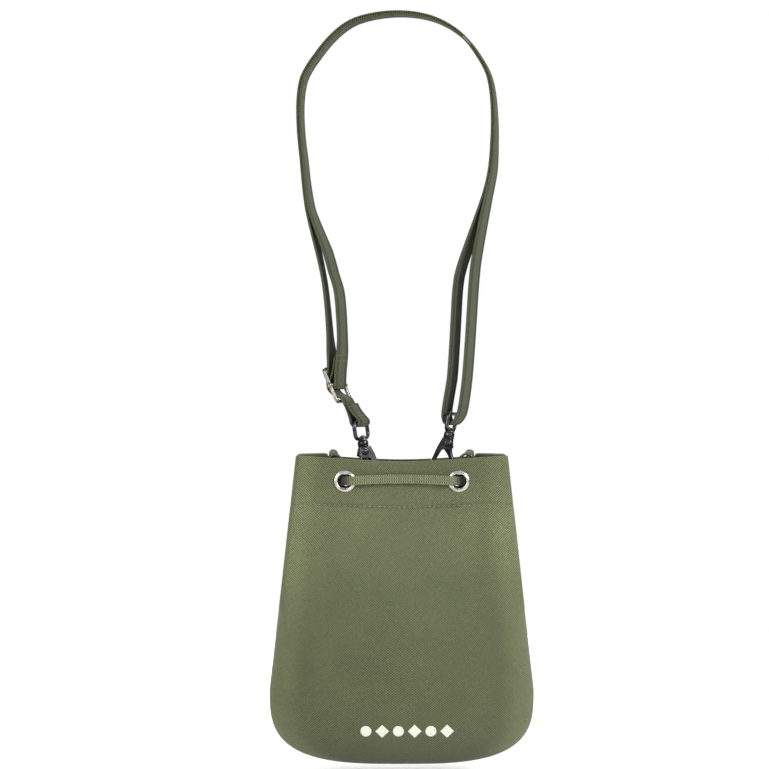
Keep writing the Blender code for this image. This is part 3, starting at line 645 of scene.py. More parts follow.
def shade(point):
    """Painted light and shade on the canvas, as a share of its colour: lighter up the front to just under
    the hem and towards the side edges, with painted shade from there to the rim, in the hem's stitch groove
    and in two dimples low on the front.
    """
    x, z = point.x, point.z
    edge = abs(x) / max(1.0, half_width(z - BOTTOM_Z))
    value = 0.91 + 0.09 * smoothstep(-530, -450, z) + 0.25 * smoothstep(-452, -400, z)
    value -= 0.22 * smoothstep(-390, -350, z)
    value += 0.32 * smoothstep(0.72, 0.9, edge)
    value -= 0.34 * math.exp(-(((z - hem_line(x)) / 0.8) ** 2))
    for sign in (-1, 1):
        value -= 0.08 * bump_at(x, z, sign * 78.5, -501.6, 9, 13)
    return value


RIM_LEVEL = 1 - (FOLD_DEPTH / 2) / RIM_MIDDLE
HEM_LEVEL = 1 - HEM_DEPTH / RIM_MIDDLE
HEM_STEP = 0.0015
# Painted shade on the inside faces of the canvas, as a share of their colour.
INSIDE_SHADE = 0.45


def panel_levels():
    levels = [0, 0.0007, 0.002, 0.005]
    levels += [0.005 + (RIM_LEVEL - 0.005) * (i / 100) ** 1.25 for i in range(1, 101)]
    levels += [HEM_LEVEL - HEM_STEP, HEM_LEVEL + HEM_STEP]
    return sorted(levels)


def panel(word, side):
    """One panel as a closed sheet, folded over at the rim into the hem inside it."""
    levels = panel_levels()
    grid = panel_grid(levels)
    rows, columns = len(grid), len(grid[0])
    columns_at, coords, tints = [], [], []
    runs_up = lengths_along([row[columns // 2][0] for row in grid])
    runs_across = lengths_along([p for p, _ in grid[rows * 2 // 3]])
    for i in range(columns):
        outer, inner = [], []
        for j, level in enumerate(levels):
            point, normal = grid[j][i]
            point = point + normal * wrinkle(point, side)
            groove = 0.35 * math.exp(-(((point.z - hem_line(point.x)) / 0.9) ** 2))
            deep = FOLD_DEPTH if level > HEM_LEVEL else CANVAS
            face = point - normal * groove
            back = point - normal * deep
            for spot in (face, back):
                spot.y = min(spot.y, -SEAM_HALF_GAP)
            outer.append(face)
            inner.append(back)
        fold = []
        top, bottom = outer[-1], inner[-1]
        for k in range(1, 8):
            angle = math.pi * k / 8
            rise = UP * FOLD_DEPTH / 2 * math.sin(angle)
            fold.append(top.lerp(bottom, (1 - math.cos(angle)) / 2) + rise)
        columns_at.append([Vector((p.x, p.y * side, p.z)) for p in outer + fold + inner[::-1]])
        heights = runs_up + [runs_up[-1] + FOLD_DEPTH * 0.2 * k for k in range(1, 8)]
        heights += [runs_up[-1] + FOLD_DEPTH * 1.6 + runs_up[-1] - run for run in runs_up[::-1]]
        coords.append([(runs_across[i] * MM, h * MM) for h in heights])
        # Painted light and shade for each point, with painted shade on the inside faces and the inner end
        # of the fold.
        painted_inside_shade = [1.0 if k < rows + 4 else INSIDE_SHADE for k in range(len(columns_at[-1]))]
        tints.append([(shade(p) * share, 0.5) for p, share in zip(columns_at[-1], painted_inside_shade)])
    sides = len(columns_at[0])
    faces = ring_faces(columns, sides, cap=False)
    for base in (0, (columns - 1) * sides):
        for j in range(rows - 1):
            faces.append((base + j, base + j + 1, base + sides - 2 - j, base + sides - 1 - j))
        faces.append(tuple(base + k for k in range(rows - 1, sides - rows + 1)))
    points = [p for column in columns_at for p in column]
    uv = [c for column in coords for c in column]
    tint = [c for column in tints for c in column]
    made = make(f"{word}_cloth", points, faces, canvas, uv, tint, sharp=60)
    cutters = []
    for centre, axis, front in eyelet_places().values():
        if front == side:
            cutters.append((turned_rings([(6.25, -7), (6.25, 5)], centre, axis, 32), False))
    cutter = joined("cutter", cutters, canvas)
    cut(made, cutter)
    place(made, "bag", "canvas", f"{word}_panel", f"{word}_hem")
    return made


def cut(piece, cutter):
    """Cuts the holes for good, so that no modifier is left."""
    boolean = piece.modifiers.new("holes", "BOOLEAN")
    boolean.operation = "DIFFERENCE"
    boolean.object = cutter
    bpy.context.view_layer.update()
    evaluated = piece.evaluated_get(bpy.context.evaluated_depsgraph_get())
    whole = bpy.data.meshes.new_from_object(evaluated)
    piece.modifiers.clear()
    piece.data = whole
    bpy.data.objects.remove(cutter)


def surface_line(side, count, height):
    """Points and normals on a panel along a height that depends on x."""
    line = []
    level = HEM_LEVEL
    grid = panel_grid([level + step for step in (-0.01, -0.004, 0.002, 0.008, 0.014)])
    for i in range(len(grid[0])):
        column = [row[i] for row in grid]
        want = height(column[0][0].x)
        best = min(range(4), key=lambda j: abs((column[j][0].z + column[j + 1][0].z) / 2 - want))
        (low, normal), (high, _) = column[best], column[best + 1]
        share = (want - low.z) / (high.z - low.z)
        point = low.lerp(high, share)
        point = point + normal * (wrinkle(point, side) - 0.3)
        line.append(tuple(Vector((v.x, v.y * side, v.z)) for v in (point, normal)))
    return line[count:-count]


# ---- Eyelets and drawcord ----


def eyelet_places():
    """The middle of each eyelet on the outer face, and the way it faces."""
    start, end = PLEAT_WALL
    middle = (start + end) / 2
    scale = half_width(EYELET_Z - BOTTOM_Z) / RIM_HALF_WIDTH
    normal = Vector((math.sin(PLEAT_ANGLE), math.cos(PLEAT_ANGLE), 0))
    places = {}
    for side, x_sign in (("left", -1), ("right", 1)):
        for word, y_sign in (("front", 1), ("back", -1)):
            places[f"{word}_{side}"] = (
                Vector((x_sign * EYELET_X, -y_sign * MOUTH_DEPTH, EYELET_Z)),
                Vector((0, -y_sign, 0)),
                y_sign,
            )
            places[f"{word}_{side}_pleat"] = (
                Vector((x_sign * middle.x * scale, y_sign * middle.y, EYELET_Z)),
                Vector((x_sign * normal.x, y_sign * normal.y, 0)),
                y_sign,
            )
    return places


def eyelets():
    low = -(FOLD_DEPTH + 0.9)
    flange = [(6.0, low), (6.0, 0.2), (8.0, 0.35), (8.25, 0.6), (8.1, 0.95), (7.75, 1.0)]
    flange += [(7.65, 1.15), (7.2, 1.55), (6.6, 1.7), (6.0, 1.45), (5.6, 0.9), (5.5, 0.2), (5.5, low)]
    base = -(FOLD_DEPTH + 1.5 * GAP)
    washer = [(6.3, base - 0.8), (7.3, base - 0.8), (7.7, base - 0.5), (7.7, base), (6.3, base)]
    for name, (centre, axis, _) in eyelet_places().items():
        for kind, profile in (("eyelet", flange), ("washer", washer)):
            rings = turned_rings(profile, centre, axis, 56)
            shapes, node = [(rings, True)], f"{kind}_{name}"
            fitted(f"{node}_turned", shapes, nickel, "bag", "nickel", node, sharp=50)


DRAWCORD_QUARTER = [
    (0, -28.4), (12, -28.5), (24, -28.9), (32, -29.9), (37.2, -29.6), (43.3, -24.6), (48.2, -20.2),
    (54, -19.6), (60, -20.0), (65.5, -19.8), (70.2, -17.4), (72.9, -12.8), (75.2, -8.2), (76.4, -4),
    (76.5, 0),
]


def cord_shade(point):
    """Painted shade: a deeper colour where the cord is away from the front and back faces."""
    inside = smoothstep(38.5, 45.0, abs(point.x)) * (1 - smoothstep(27.5, 29.5, abs(point.y)))
    return 1 - 0.72 * inside


def drawcord():
    """The flat cord round the mouth, whose back ends bend towards the knot."""
    quarter = [Vector((x, y, 0)) for x, y in DRAWCORD_QUARTER]
    side = quarter + [mirror_y(p) for p in reversed(quarter[:-1])]
    side[-1] = Vector((5.0, KNOT_Y - 1.0, 0))
    left = [Vector((-p.x, p.y, 0)) for p in side]
    route, marks = smooth_route(list(reversed(left[1:])) + side, 1.0)
    flat = [p.copy() for p in route]
    for point in route:
        if point.y < 0:
            point.z = EYELET_Z + 1.6 * (1 - min(1.0, abs(point.x) / EYELET_X) ** 2)
        else:
            point.z = EYELET_Z
    alongs = tangents(flat)
    ups = [along.cross(UP).normalized() for along in alongs]
    rings, coords = flat_rings(route, [UP] * len(route), ups, CORD_WIDTH, CORD_THICK)
    a, b = marks[4], marks[-5]
    for name, first, last in (("left", 0, a), ("middle", a, b), ("right", b, len(route) - 1)):
        part = slice(first, last + 1)
        made = loft(f"drawcord_{name}", rings[part], cord_canvas, uv=coords[part], tint=cord_shade)
        if name == "middle":
            place(made, "bag", "canvas", "drawcord")
        else:
            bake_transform(made)
    lines = []
    for k in range(a, b):
        if route[k].y < -27 and abs(route[k].x) < 37:
            normal = ups[k] if ups[k].y < 0 else -ups[k]
            edge = route[k] - UP * (CORD_WIDTH / 2 - 1.0)
            lines.append((edge + normal * (CORD_THICK / 2 - 0.12), normal))
    sewn = stitches("drawcord_stitches", [lines], pale_thread, 1.9, 0.5, 0.24, 0.05)
    place(sewn, "bag", "canvas")


def knot():
    """An overhand knot of the flat cord."""
    low, high = (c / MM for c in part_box("drawcord_knot"))
    centre, half = (low + high) / 2, (high - low) / 2
    count, thick = 120, 1.7
    points = []
    for k in range(count):
        t = math.tau * k / count
        aside, rise = math.sin(t) + 2 * math.sin(2 * t), math.cos(t) - 2 * math.cos(2 * t)
        spot = Vector((aside, -math.sin(3 * t), rise))
        scale = Vector(((half.x - thick) / 2.6, (half.y - thick) / 1.0, (half.z - thick) / 2.9))
        points.append(centre + Vector((spot.x * scale.x, spot.y * scale.y, spot.z * scale.z)))
    rings, coords = [], []
    for point, along, run in zip(points, tangents(points, True), lengths_along(points)):
        out = point - centre
        aside = along.cross(out).normalized()
        up = aside.cross(along).normalized()
        ring, line = [], []
        for i in range(14):
            angle = math.tau * i / 14
            ring.append(point + aside * 2.1 * math.cos(angle) + up * 1.25 * math.sin(angle))
            line.append((abs(math.pi - angle) * 2 * MM, run * MM))
        rings.append(ring)
        coords.append(line)
    made = loft("drawcord_overhand_knot", rings, cord_canvas, closed=True, uv=coords, tint=cord_shade)
    place(made, "cord_ends", "canvas", "drawcord_knot")


def tails():
    for word, side in (("left", -1), ("right", 1)):
        route = []
        for i in range(63):
            t = i / 62
            x = side * (2.9 + CORD_WIDTH / 2 * min(1.0, 0.35 + t) + 5.0 * t * t)
            sway = 0.9 * math.sin(math.pi * 2.2 * t) * t * (1 - t)
            route.append(Vector((x, KNOT_Y + 1.6 * t + sway, EYELET_Z - 5.4 - TAIL_LENGTH * t)))
        alongs = tangents(route)
        asides = [along.cross(BACK).normalized() for along in alongs]
        ups = [aside.cross(along).normalized() for aside, along in zip(asides, alongs)]
        rings, coords = flat_rings(route, asides, ups, CORD_WIDTH, CORD_THICK)
        made = loft(f"tail_{word}", rings, cord_canvas, uv=coords, tint=cord_shade)
        place(made, "cord_ends", "canvas", f"drawcord_tail_{word}")
        sewn = stitches(
            f"tail_{word}_stitches",
            [[(p + u * (CORD_THICK / 2 - 0.12) + a * 2.5, u) for p, u, a in zip(route, ups, asides)][2:-2]],
            pale_thread, 1.9, 0.5, 0.24, 0.05,
        )
        place(sewn, "cord_ends", "canvas")


# ---- Strap ----


def width_direction(yaw):
    angle = math.radians(yaw)
    return Vector((math.sin(angle), math.cos(angle), 0))


DOUBLED = [
    (-70.6, 16, -149.4), (-75.4, 11, -111.5), (-78.3, 9, -79), (-75.7, 9, -49.5), (-65.2, 9, -31.7),
    (-51.5, 9, -15.4), (-35.4, 9, -4.2), (-3.2, 9, 1.6), (25.8, 9, -2.8), (47.4, 9, -15.7),
    (60.6, 9, -32.5), (68.3, 9, -48), (71.8, 11, -75.1), (71.8, 14, -98.7), (70.5, 17, -119.2),
    (66.5, 20, -138.5),
]
LEFT_INNER = [(-48.6, 22, -212.0), (-52.2, 22, -200.0), (-57.6, 22, -181.0)]
LEFT_OUTER = [(-64.6, 12, -181.0), (-60.6, 10, -200.0), (-58.7, 10, -212.0)]
RIGHT_TURN = [
    (50.4, 24, -183.0), (44.6, 24, -202.4), (42.4, 24, -228.0), (39.1, 24, -280.7),
    (35.4, 24, -303.0), (35.0, 24, -310.5), (36.6, 24, -315.0), (39.6, 24, -316.0),
    (43.2, 24, -313.5), (46.0, 24, -309.0), (47.6, 24, -303.0), (50.7, 24, -280.7),
    (54.1, 24, -234.5), (56.9, 24, -195.8), (60.2, 23, -175.5),
]
INNER_RUN = [(-46.6, 22, -232.0), (-45.8, 22, -250.0)]
SEWN_END = [
    (-45.9, 24, -258.6), (-46.1, 25, -266.0), (-46.8, 25, -277.0), (-47.2, 25, -283.5),
    (-47.5, 25, -287.0), (-49.8, 25, -288.3), (-51.9, 25, -287.1), (-52.3, 25, -284.6),
    (-51.3, 25, -280.5), (-49.3, 25, -275.5), (-48.1, 25, -270.0), (-47.9, 25, -264.5),
]
OUTER_RUN = [
    (-56.6, 11, -232.0), (-55.2, 14, -250.0), (-54.1, 21, -263.0), (-53.6, 25, -271.0),
    (-53.8, 25, -277.0), (-54.4, 25, -283.0), (-53.7, 25, -288.0), (-50.9, 25, -291.6),
    (-46.3, 25, -294.0), (-41.2, 25, -296.1),
]
HOOK_TAB = [
    (-38.8, 25, -300.0), (-36.9, 25, -306.0), (-36.1, 25, -311.0), (-35.5, 25, -314.6),
    (-34.1, 25, -317.0), (-31.8, 25, -317.5), (-29.7, 25, -316.0), (-29.3, 25, -313.4),
    (-31.2, 25, -310.0), (-33.4, 25, -306.6), (-35.1, 25, -303.2), (-36.1, 25, -299.8),
]


def doubled_run(offset):
    middle = [Vector((x, 0, z)) for x, _, z in DOUBLED]
    moved = []
    for point, along, (_, yaw, _) in zip(middle, tangents(middle), DOUBLED):
        outward = along.cross(BACK) * -offset
        moved.append((point.x - outward.x, yaw, point.z - outward.z))
    return moved


def centred(x, z):
    """A point of the left webbing, slid along its width so that it stays in the buckle."""
    point = Vector((x, 0, z))
    if x > 0:
        return point
    across = width_direction(SLIDER_YAW)
    near = abs(z - SLIDER.z) / SLIDER_HALF
    return point - across * across.dot(point - SLIDER) * min(1, max(0, 1.9 - near))


def strap():
    """One length of webbing from the buckle's bar, twice round the loop, to the left hook."""
    parts = [SEWN_END[::-1], INNER_RUN[::-1], LEFT_INNER, doubled_run(-LAYER / 2), RIGHT_TURN]
    parts += [doubled_run(LAYER / 2)[::-1], LEFT_OUTER, OUTER_RUN, HOOK_TAB]
    rows = [row for part in parts for row in part]
    route, marks = smooth_route(rows, 1.0)
    starts = []
    for part in parts:
        starts.append((starts[-1][1] if starts else 0, (starts[-1][1] if starts else 0) + len(part)))
    points = [centred(p.x, p.z) for p in route]
    asides = [width_direction(p.y) for p in route]
    alongs = tangents(points)
    ups = [along.cross(BACK).normalized() for along in alongs]
    rings, coords = flat_rings(points, asides, ups, WEB_WIDTH, WEB_THICK, WEB_SCALLOP)
    sewn_end = marks[starts[0][1] - 1]
    main_start = marks[starts[2][0]]
    main_end = marks[starts[6][1] - 1]
    bar = marks[starts[7][0] + 6]
    tab = marks[starts[7][1] - 1]
    cuts = {
        "webbing_sewn_end": (0, sewn_end, "slider", None, "strap_sewn_end"),
        "webbing_inner": (sewn_end, main_start, "strap", "slider", "strap_inner_run"),
        "webbing_loop": (main_start, main_end, "strap", None, "strap_webbing"),
        "webbing_outer": (main_end, bar, "strap", "slider", "strap_outer_run"),
        "webbing_lower": (bar, tab, "slider", "strap", "strap_outer_run"),
        "webbing_hook_tab": (tab, len(rings) - 1, "strap", None, "strap_hook_tab"),
    }
    for name, (first, last, body, other, node) in cuts.items():
        part = slice(first, last + 1)
        made = loft(name, rings[part], webbing, uv=coords[part], sharp=70)
        if other is None:
            place(made, body, "webbing", node)
        else:
            ends = [points[first] * MM, points[last] * MM]
            if name == "webbing_inner":
                ends.reverse()
            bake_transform(made)
            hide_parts(node)

    def across(index, sign, reach=8.2):
        normal = ups[index] * sign
        surface = points[index] + normal * (WEB_THICK / 2 - 0.1)
        return [(surface + asides[index] * w, normal) for w in (-reach, -reach / 2, 0, reach / 2, reach)]

    def by_height(first, last, z):
        return min(range(first, last), key=lambda k: abs(points[k].z - z))

    lines, tab_lines = [], []
    for z in (-266.6, -263.2):
        k = by_height(sewn_end - 12, sewn_end, z)
        lines += [across(k, 1), across(k, -1)]
    sewn = stitches("sewn_end_stitches", lines, thread, 2.0, 0.6, 0.3, 0.05)
    place(sewn, "slider", "webbing")
    for z in (-302.6, -310.2):
        k = by_height(len(points) - 16, len(points), z)
        tab_lines += [across(k, 1), across(k, -1)]
    sewn = stitches("hook_tab_stitches", tab_lines, thread, 2.0, 0.6, 0.3, 0.05)
    place(sewn, "strap", "webbing")


def slider():
    """The slide buckle: a ridged frame and a riveted centre bar with ball ends."""
    across = width_direction(SLIDER_YAW)
    down = Vector((0.464, 0, -0.886))
    down = (down - across * down.dot(across)).normalized()
    corner = 3.2
    loop = []
    for along, side, start in ((1, 1, 0), (-1, 1, 90), (-1, -1, 180), (1, -1, 270)):
        middle = Vector((along * (SLIDER_HALF - corner), side * (SLIDER_HALF_WIDTH - corner)))
        loop += list(arc(middle, corner, start, start + 90, 12))
    points = [SLIDER + down * p.x + across * p.y for p in loop]
    dense = []
    for p, q in zip(points, points[1:] + points[:1]):
        count = max(1, round((q - p).length / 1.2))
        dense += [p.lerp(q, i / count) for i in range(count)]
    rings = tube_rings(dense, [(1.55, 1.5)] * len(dense), down.cross(across), 28, True, 0.22)
    shapes = [(rings, True)]
    fitted("slide_buckle_frame", shapes, buckle_metal, "slider", "nickel", "slider_frame")
    ball = [(2.1 * math.sin(math.radians(a)), 2.1 * math.cos(math.radians(a))) for a in range(5, 180, 12)]
    core = [(0.4, -14.5), (1.3, -14.2), (1.3, 14.2), (0.4, 14.5)]
    shapes = [(turned_rings(core, SLIDER, across, 28), False)]
    for sign in (1, -1):
        for far in (13.6, 10.6):
            shapes.append((turned_rings(ball, SLIDER + across * sign * far, across, 28), False))
    fitted("slide_buckle_bar", shapes, buckle_metal, "slider", "nickel", "slider_bar")


# ---- Snap hooks, rings and tabs ----


def hook_place(side):
    hook = HOOKS[side]
    lean = Matrix.Rotation(math.radians(hook["lean"]), 4, "Y")
    turn = Matrix.Rotation(math.radians(hook["turn"]), 4, "Z")
    face = Matrix.Rotation(math.pi if hook["lever"] < 0 else 0.0, 4, "Z")
    return Matrix.Translation(hook["foot"]) @ lean @ turn @ face


def bow_place(side):
    hook = HOOKS[side]
    lean = Matrix.Rotation(math.radians(hook["lean"]), 4, "Y")
    return Matrix.Translation(hook["foot"]) @ lean @ Matrix.Rotation(math.radians(-hook["bow"]), 4, "Z")


def hook_stations():
    """(aside, up, half width in the hook's plane, half thickness) from the neck to the tip."""
    stations = [
        (0, NECK[1] - 0.05, 4.2, 4.2), (0, NECK[0] + 1, 4.2, 4.2), (0, 31.5, 4.0, 3.0),
        (-0.3, 27.5, 4.3, 2.9),
        (-1.2, 24.0, 3.5, 2.7), (-2.9, 20.5, 2.2, 2.3), (-5.2, 16.6, 1.8, 2.1),
    ]
    for i in range(15):
        angle = math.radians(150 + 222 * i / 14)
        aside, up = CROOK_RADIUS * math.cos(angle), CROOK_RADIUS + CROOK_RADIUS * math.sin(angle)
        stations.append((aside, up, CROOK_WIRE, CROOK_WIRE + 0.3))
    dense = smooth_route(stations, 0.7)[0]
    for k, share in ((-1, 0.45), (-2, 0.8), (0, 0.9)):
        dense[k][2] *= share
        dense[k][3] *= share
    return dense


def bead(far, height, radius, sides=10):
    """The round profile of a ring turned about an axis."""
    turns = [math.tau * i / sides for i in range(sides)]
    return [(far + radius * math.cos(a), height + radius * math.sin(a)) for a in turns]


def snap_hook(side):
    spot = hook_place(side)
    normal = spot.to_3x3() @ BACK
    stations = hook_stations()
    points = [spot @ Vector((s[0], 0, s[1])) for s in stations]
    rings = tube_rings(points, [(s[2], s[3]) for s in stations], normal, 28)
    body, shapes = f"{side}_hook", [(rings, False)]
    name, node = f"{side}_hook_casting", f"{side}_hook_body"
    fitted(name, shapes, gunmetal, body, "antique_nickel", node, sharp=70)

    rivet = spot @ Vector((RIVET_ASIDE, 0, RIVET_UP))
    shapes = []
    half = [(1.2, 3.9), (2.7, 4.25), (2.75, 4.6), (2.4, 4.95), (1.85, 5.0), (1.7, 4.7), (1.35, 4.7)]
    half += [(1.2, 5.05), (0.8, 5.3), (0.1, 5.35)]
    for sign in (1, -1):
        shapes.append((turned_rings(half, rivet, normal * sign, 32), False))
    shapes.append((turned_rings([(1.2, -4.4), (1.2, 4.4)], rivet, normal, 24), False))
    fitted(f"{side}_ringed_rivet", shapes, gunmetal, body, "nickel", f"{side}_gate_rivet")

    bow = bow_place(side)
    low, high = BOSS
    middle = (low + high) / 2
    loop = [(0, middle), (4.0, middle), (9.2, middle + 0.2), (11.9, middle + 2.4)]
    loop += [(BOW_HALF_WIDTH, middle + 6.4), (12.0, BOW_TOP - 2.0), (9.9, BOW_TOP), (4.0, BOW_TOP)]
    loop += [(-y, up) for y, up in reversed(loop[1:])]
    points = [bow @ Vector((0, y, up)) for y, up in loop]
    dense = smooth_route([points[-1], *points, points[0]], 0.8)
    dense = dense[0][dense[1][1] : dense[1][-1]]
    facing = bow.to_3x3() @ Vector((1, 0, 0))
    rings = tube_rings(dense, [(1.35, 1.6)] * len(dense), facing, 22, True)
    axis = bow.to_3x3() @ UP
    foot = HOOKS[side]["foot"]
    boss = [(1.7, low + 0.05), (3.5, low + 0.05), (3.9, low + 0.4), (3.9, high - 0.4)]
    boss += [(3.5, high), (1.7, high)]
    spacer = [(1.9, NECK[1]), (3.4, NECK[1]), (3.4, low + 0.1), (1.9, low + 0.1)]
    shapes = [(rings, True), (turned_rings(boss, foot, axis, 36), True)]
    shapes.append((turned_rings(spacer, foot, axis, 36), True))
    fitted(f"{side}_bow", shapes, gunmetal, "strap", "antique_nickel", f"{side}_swivel_bow")
    ring = bead(4.05, low + 0.6, 0.32)
    shapes = [(turned_rings(ring, foot, axis, 40), True)]
    fitted(f"{side}_collar_ring", shapes, buckle_metal, "strap", "nickel")
    neck = bead(4.22, 31.9, 0.3)
    upright = spot.to_3x3() @ UP
    shapes = [(turned_rings(neck, foot, upright, 40), True)]
    fitted(f"{side}_neck_ring", shapes, gunmetal, body, "nickel")


def ring_points(side):
    hook = HOOKS[side]
    x_sign = 1 if side == "right" else -1
    axis = Matrix.Rotation(math.radians(hook["lean"]), 3, "Y") @ UP
    bow = hook["foot"] + axis * (CROOK_WIRE + RING_WIRE + GAP)
    bend = Vector((x_sign * TAB_BEND.x, 0, TAB_BEND.z))
    return bow, bow + (bend - bow).normalized() * RING_DEPTH


def d_ring(side):
    bow, bar = ring_points(side)
    towards = (bar - bow).normalized()
    straight = RING_DEPTH - RING_HALF_WIDTH
    loop = list(arc((straight, 0), RING_HALF_WIDTH, 90, -90, 40))
    loop += [Vector((2.0, -RING_HALF_WIDTH)), Vector((0.5, 0.4 - RING_HALF_WIDTH))]
    loop += [Vector((0, y)) for y in (1.4 - RING_HALF_WIDTH, 0, RING_HALF_WIDTH - 1.4)]
    loop += [Vector((0.5, RING_HALF_WIDTH - 0.4)), Vector((2.0, RING_HALF_WIDTH))]
    points = [bar - towards * p.x + BACK * p.y for p in loop]
    wire = RING_WIRE - RING_SLIMMER
    rings = tube_rings(points, [(wire, wire)] * len(points), towards.cross(BACK), 22, True)
    shapes = [(rings, True)]
    fitted(f"{side}_ring_wire", shapes, nickel, f"{side}_ring", "nickel", f"{side}_d_ring")


def side_tab(side):
    """Webbing sewn inside the side seam, over the rim and round the ring's bar."""
    x_sign = 1 if side == "right" else -1
    _, bar = ring_points(side)
    around = RING_WIRE + 2 * GAP + WEB_THICK / 2
    outer, inner = 55.7, 55.7 - LAYER
    bend = Vector((50.5, 0, -339.6))
    end = Vector((abs(bar.x), 0, bar.z))
    slope = (bend - end).normalized()
    up = Vector((-slope.z, 0, slope.x))
    if up.z < 0:
        up = -up
    over, under = end + up * around, end - up * around
    tight = up * LAYER / 2
    near = end + slope * (around + 2.6)
    route = [Vector((outer, 0, -362)), Vector((outer, 0, -352)), Vector((outer, 0, -342.5))]
    route += [Vector((54.7, 0, -338.4)), Vector((52.4, 0, -338.0)), near + tight + slope * 1.5]
    route += [over, end - slope * around, under]
    route += [near - tight + slope * 1.5, Vector((51.9, 0, -340.6)), Vector((inner - 0.1, 0, -343.4))]
    route += [Vector((inner, 0, -350)), Vector((inner, 0, -362))]
    route = [Vector((x_sign * p.x, 0, p.z)) for p in smooth_route(route, 0.9)[0]]
    alongs = tangents(route)
    asides, leans = [], []
    for point, along in zip(route, alongs):
        far = abs(point.x)
        high = smoothstep(-346, -340, point.z) * smoothstep(49.0, 52.0, far)
        aside = (BACK + UP * TAB_LEAN * high).normalized()
        asides.append((aside - along * aside.dot(along)).normalized())
        leans.append(along.cross(asides[-1]).normalized())
    rings, coords = flat_rings(route, asides, leans, TAB_WIDTH, WEB_THICK, TAB_SCALLOP)
    made = loft(f"{side}_tab_webbing", rings, webbing, uv=coords, sharp=70)
    place(made, "bag", "webbing", f"{side}_tab")


def restyle(name, finish, bevel=0.0):
    """A better finish on a CAD node whose shape is kept."""
    node = frame["nodes"][name]
    node.data.materials.clear()
    node.data.materials.append(finish)
    if bevel:
        weld = node.modifiers.new("weld", "WELD")
        weld.merge_threshold = 1e-6
        eased = node.modifiers.new("eased", "BEVEL")
        eased.width = bevel * MM
        eased.segments = 2
        eased.limit_method = "ANGLE"


# ---- The printed row ----


def print_row(cloth):
    """Plain discs and diamonds in a row, laid on the front."""
    tree = BVHTree.FromObject(cloth, bpy.context.evaluated_depsgraph_get())
    points, faces = [], []
    for k in range(6):
        centre = Vector((-27.5 + k * 12.4, 0, -549.8))
        sides = 4 if k % 2 else 28
        for ring in range(9):
            for i in range(28):
                turn = math.tau * i / 28
                reach = 4.4 * (ring + 0.02) / 8
                if sides == 4:
                    reach *= 1.25 / (abs(math.cos(turn)) + abs(math.sin(turn)))
                spot = centre + Vector((reach * math.cos(turn), 0, reach * math.sin(turn)))
                hit, normal, _, _ = tree.ray_cast(Vector((spot.x, -90, spot.z)) * MM, BACK)
                points.append(hit / MM + normal * (0.14 if ring < 8 else -0.1))
        faces += ring_faces(9, 28, first=k * 9 * 28, cap=False)
        faces.append(tuple(k * 9 * 28 + i for i in range(28)))
    made = make("front_print", points, faces, ink, sharp=80)
    place(made, "bag", "canvas")
    return made


# ---- Stage ----


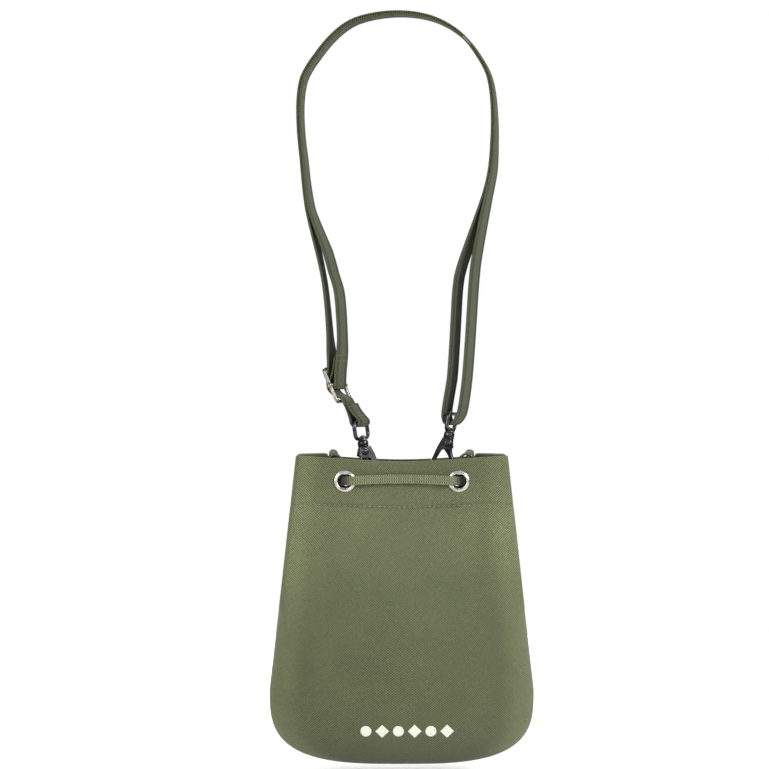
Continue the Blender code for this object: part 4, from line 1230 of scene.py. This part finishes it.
def stage():
    scene = bpy.context.scene
    camera = bpy.data.objects.new("camera", bpy.data.cameras.new("camera"))
    scene.collection.objects.link(camera)
    camera.location = (-0.0133, -2.0, -0.2852)
    camera.rotation_euler = (math.pi / 2, 0, 0)
    camera.data.lens = 121.0
    camera.data.sensor_width = 36.0
    camera.data.clip_end = 100
    scene.camera = camera
    floor = bpy.data.objects.new("floor", bpy.data.meshes.new("floor"))
    shape = bmesh.new()
    bmesh.ops.create_circle(shape, cap_ends=True, segments=96, radius=1.1)
    shape.to_mesh(floor.data)
    shape.free()
    floor.location.z = -0.5845
    scene.collection.objects.link(floor)
    s = Shader("pale_floor")
    s.set(base_color=(0.88, 0.88, 0.87, 1), roughness=0.7)
    floor.data.materials.append(s.material)
    lights = (
        ("key", (1.9, -1.5, 0.7), 0.9, 66.0),
        ("fill", (-1.5, -2.0, 0.4), 1.5, 44.0),
        ("top", (0.3, 0.7, 1.5), 1.8, 34.0),
        ("back", (-0.5, 2.1, 0.3), 1.6, 34.0),
    )
    for name, spot, size, power in lights:
        light = bpy.data.objects.new(name, bpy.data.lights.new(name, "AREA"))
        light.data.size = size
        light.data.energy = power
        light.location = spot
        aim = Vector((0, 0, -0.3)) - Vector(spot)
        light.rotation_euler = aim.to_track_quat("-Z", "Y").to_euler()
        scene.collection.objects.link(light)
    world(scene)
    scene.view_settings.view_transform = "Standard"


def world(scene):
    """White behind the object, and a softer grey studio for what it reflects."""
    made = bpy.data.worlds.new("studio")
    scene.world = made
    s = Nodes(made)
    white = s.tree.nodes["Background"]
    s.feed(white.inputs["Color"], (1, 1, 1, 1))
    s.feed(white.inputs["Strength"], 1.0)
    coord = s.add("ShaderNodeTexCoord").outputs["Generated"]
    height = s.add("ShaderNodeSeparateXYZ", {0: coord}).outputs["Z"]
    half = s.add("ShaderNodeMath", {0: height, 1: 0.5, 2: 0.5}, operation="MULTIPLY_ADD")
    stops = ((0.0, 0.5), (0.46, 0.32), (0.62, 0.62), (1.0, 1.0))
    grey = s.ramp(half.outputs[0], [(spot, (level,) * 3) for spot, level in stops])
    around = s.add("ShaderNodeBackground", {"Color": grey, "Strength": 0.4}).outputs[0]
    seen = s.add("ShaderNodeLightPath").outputs["Is Camera Ray"]
    mix = s.add("ShaderNodeMixShader", {0: seen, 1: around, 2: white.outputs[0]})
    s.feed(s.tree.nodes["World Output"].inputs["Surface"], mix.outputs[0])


def main():
    stage()
    tails()
    front = panel("front", 1)
    back = panel("back", -1)
    for cloth, word, side in ((front, "front", 1), (back, "back", -1)):
        sewn = stitches(f"{word}_hem_stitches", [surface_line(side, 20, hem_line)], thread, 2.3, 1.5, 0.45)
        place(sewn, "bag", "canvas")
        if side > 0:
            print_row(cloth)
    eyelets()
    drawcord()
    knot()
    strap()
    slider()
    for side in HOOKS:
        snap_hook(side)
        d_ring(side)
        side_tab(side)
        restyle(f"{side}_gate_lever", gunmetal, 0.3)
        restyle(f"{side}_gate_spring", nickel)
        restyle(f"{side}_swivel_pin", nickel, 0.1)
    restyle("seam_binding", plain_canvas)


main()
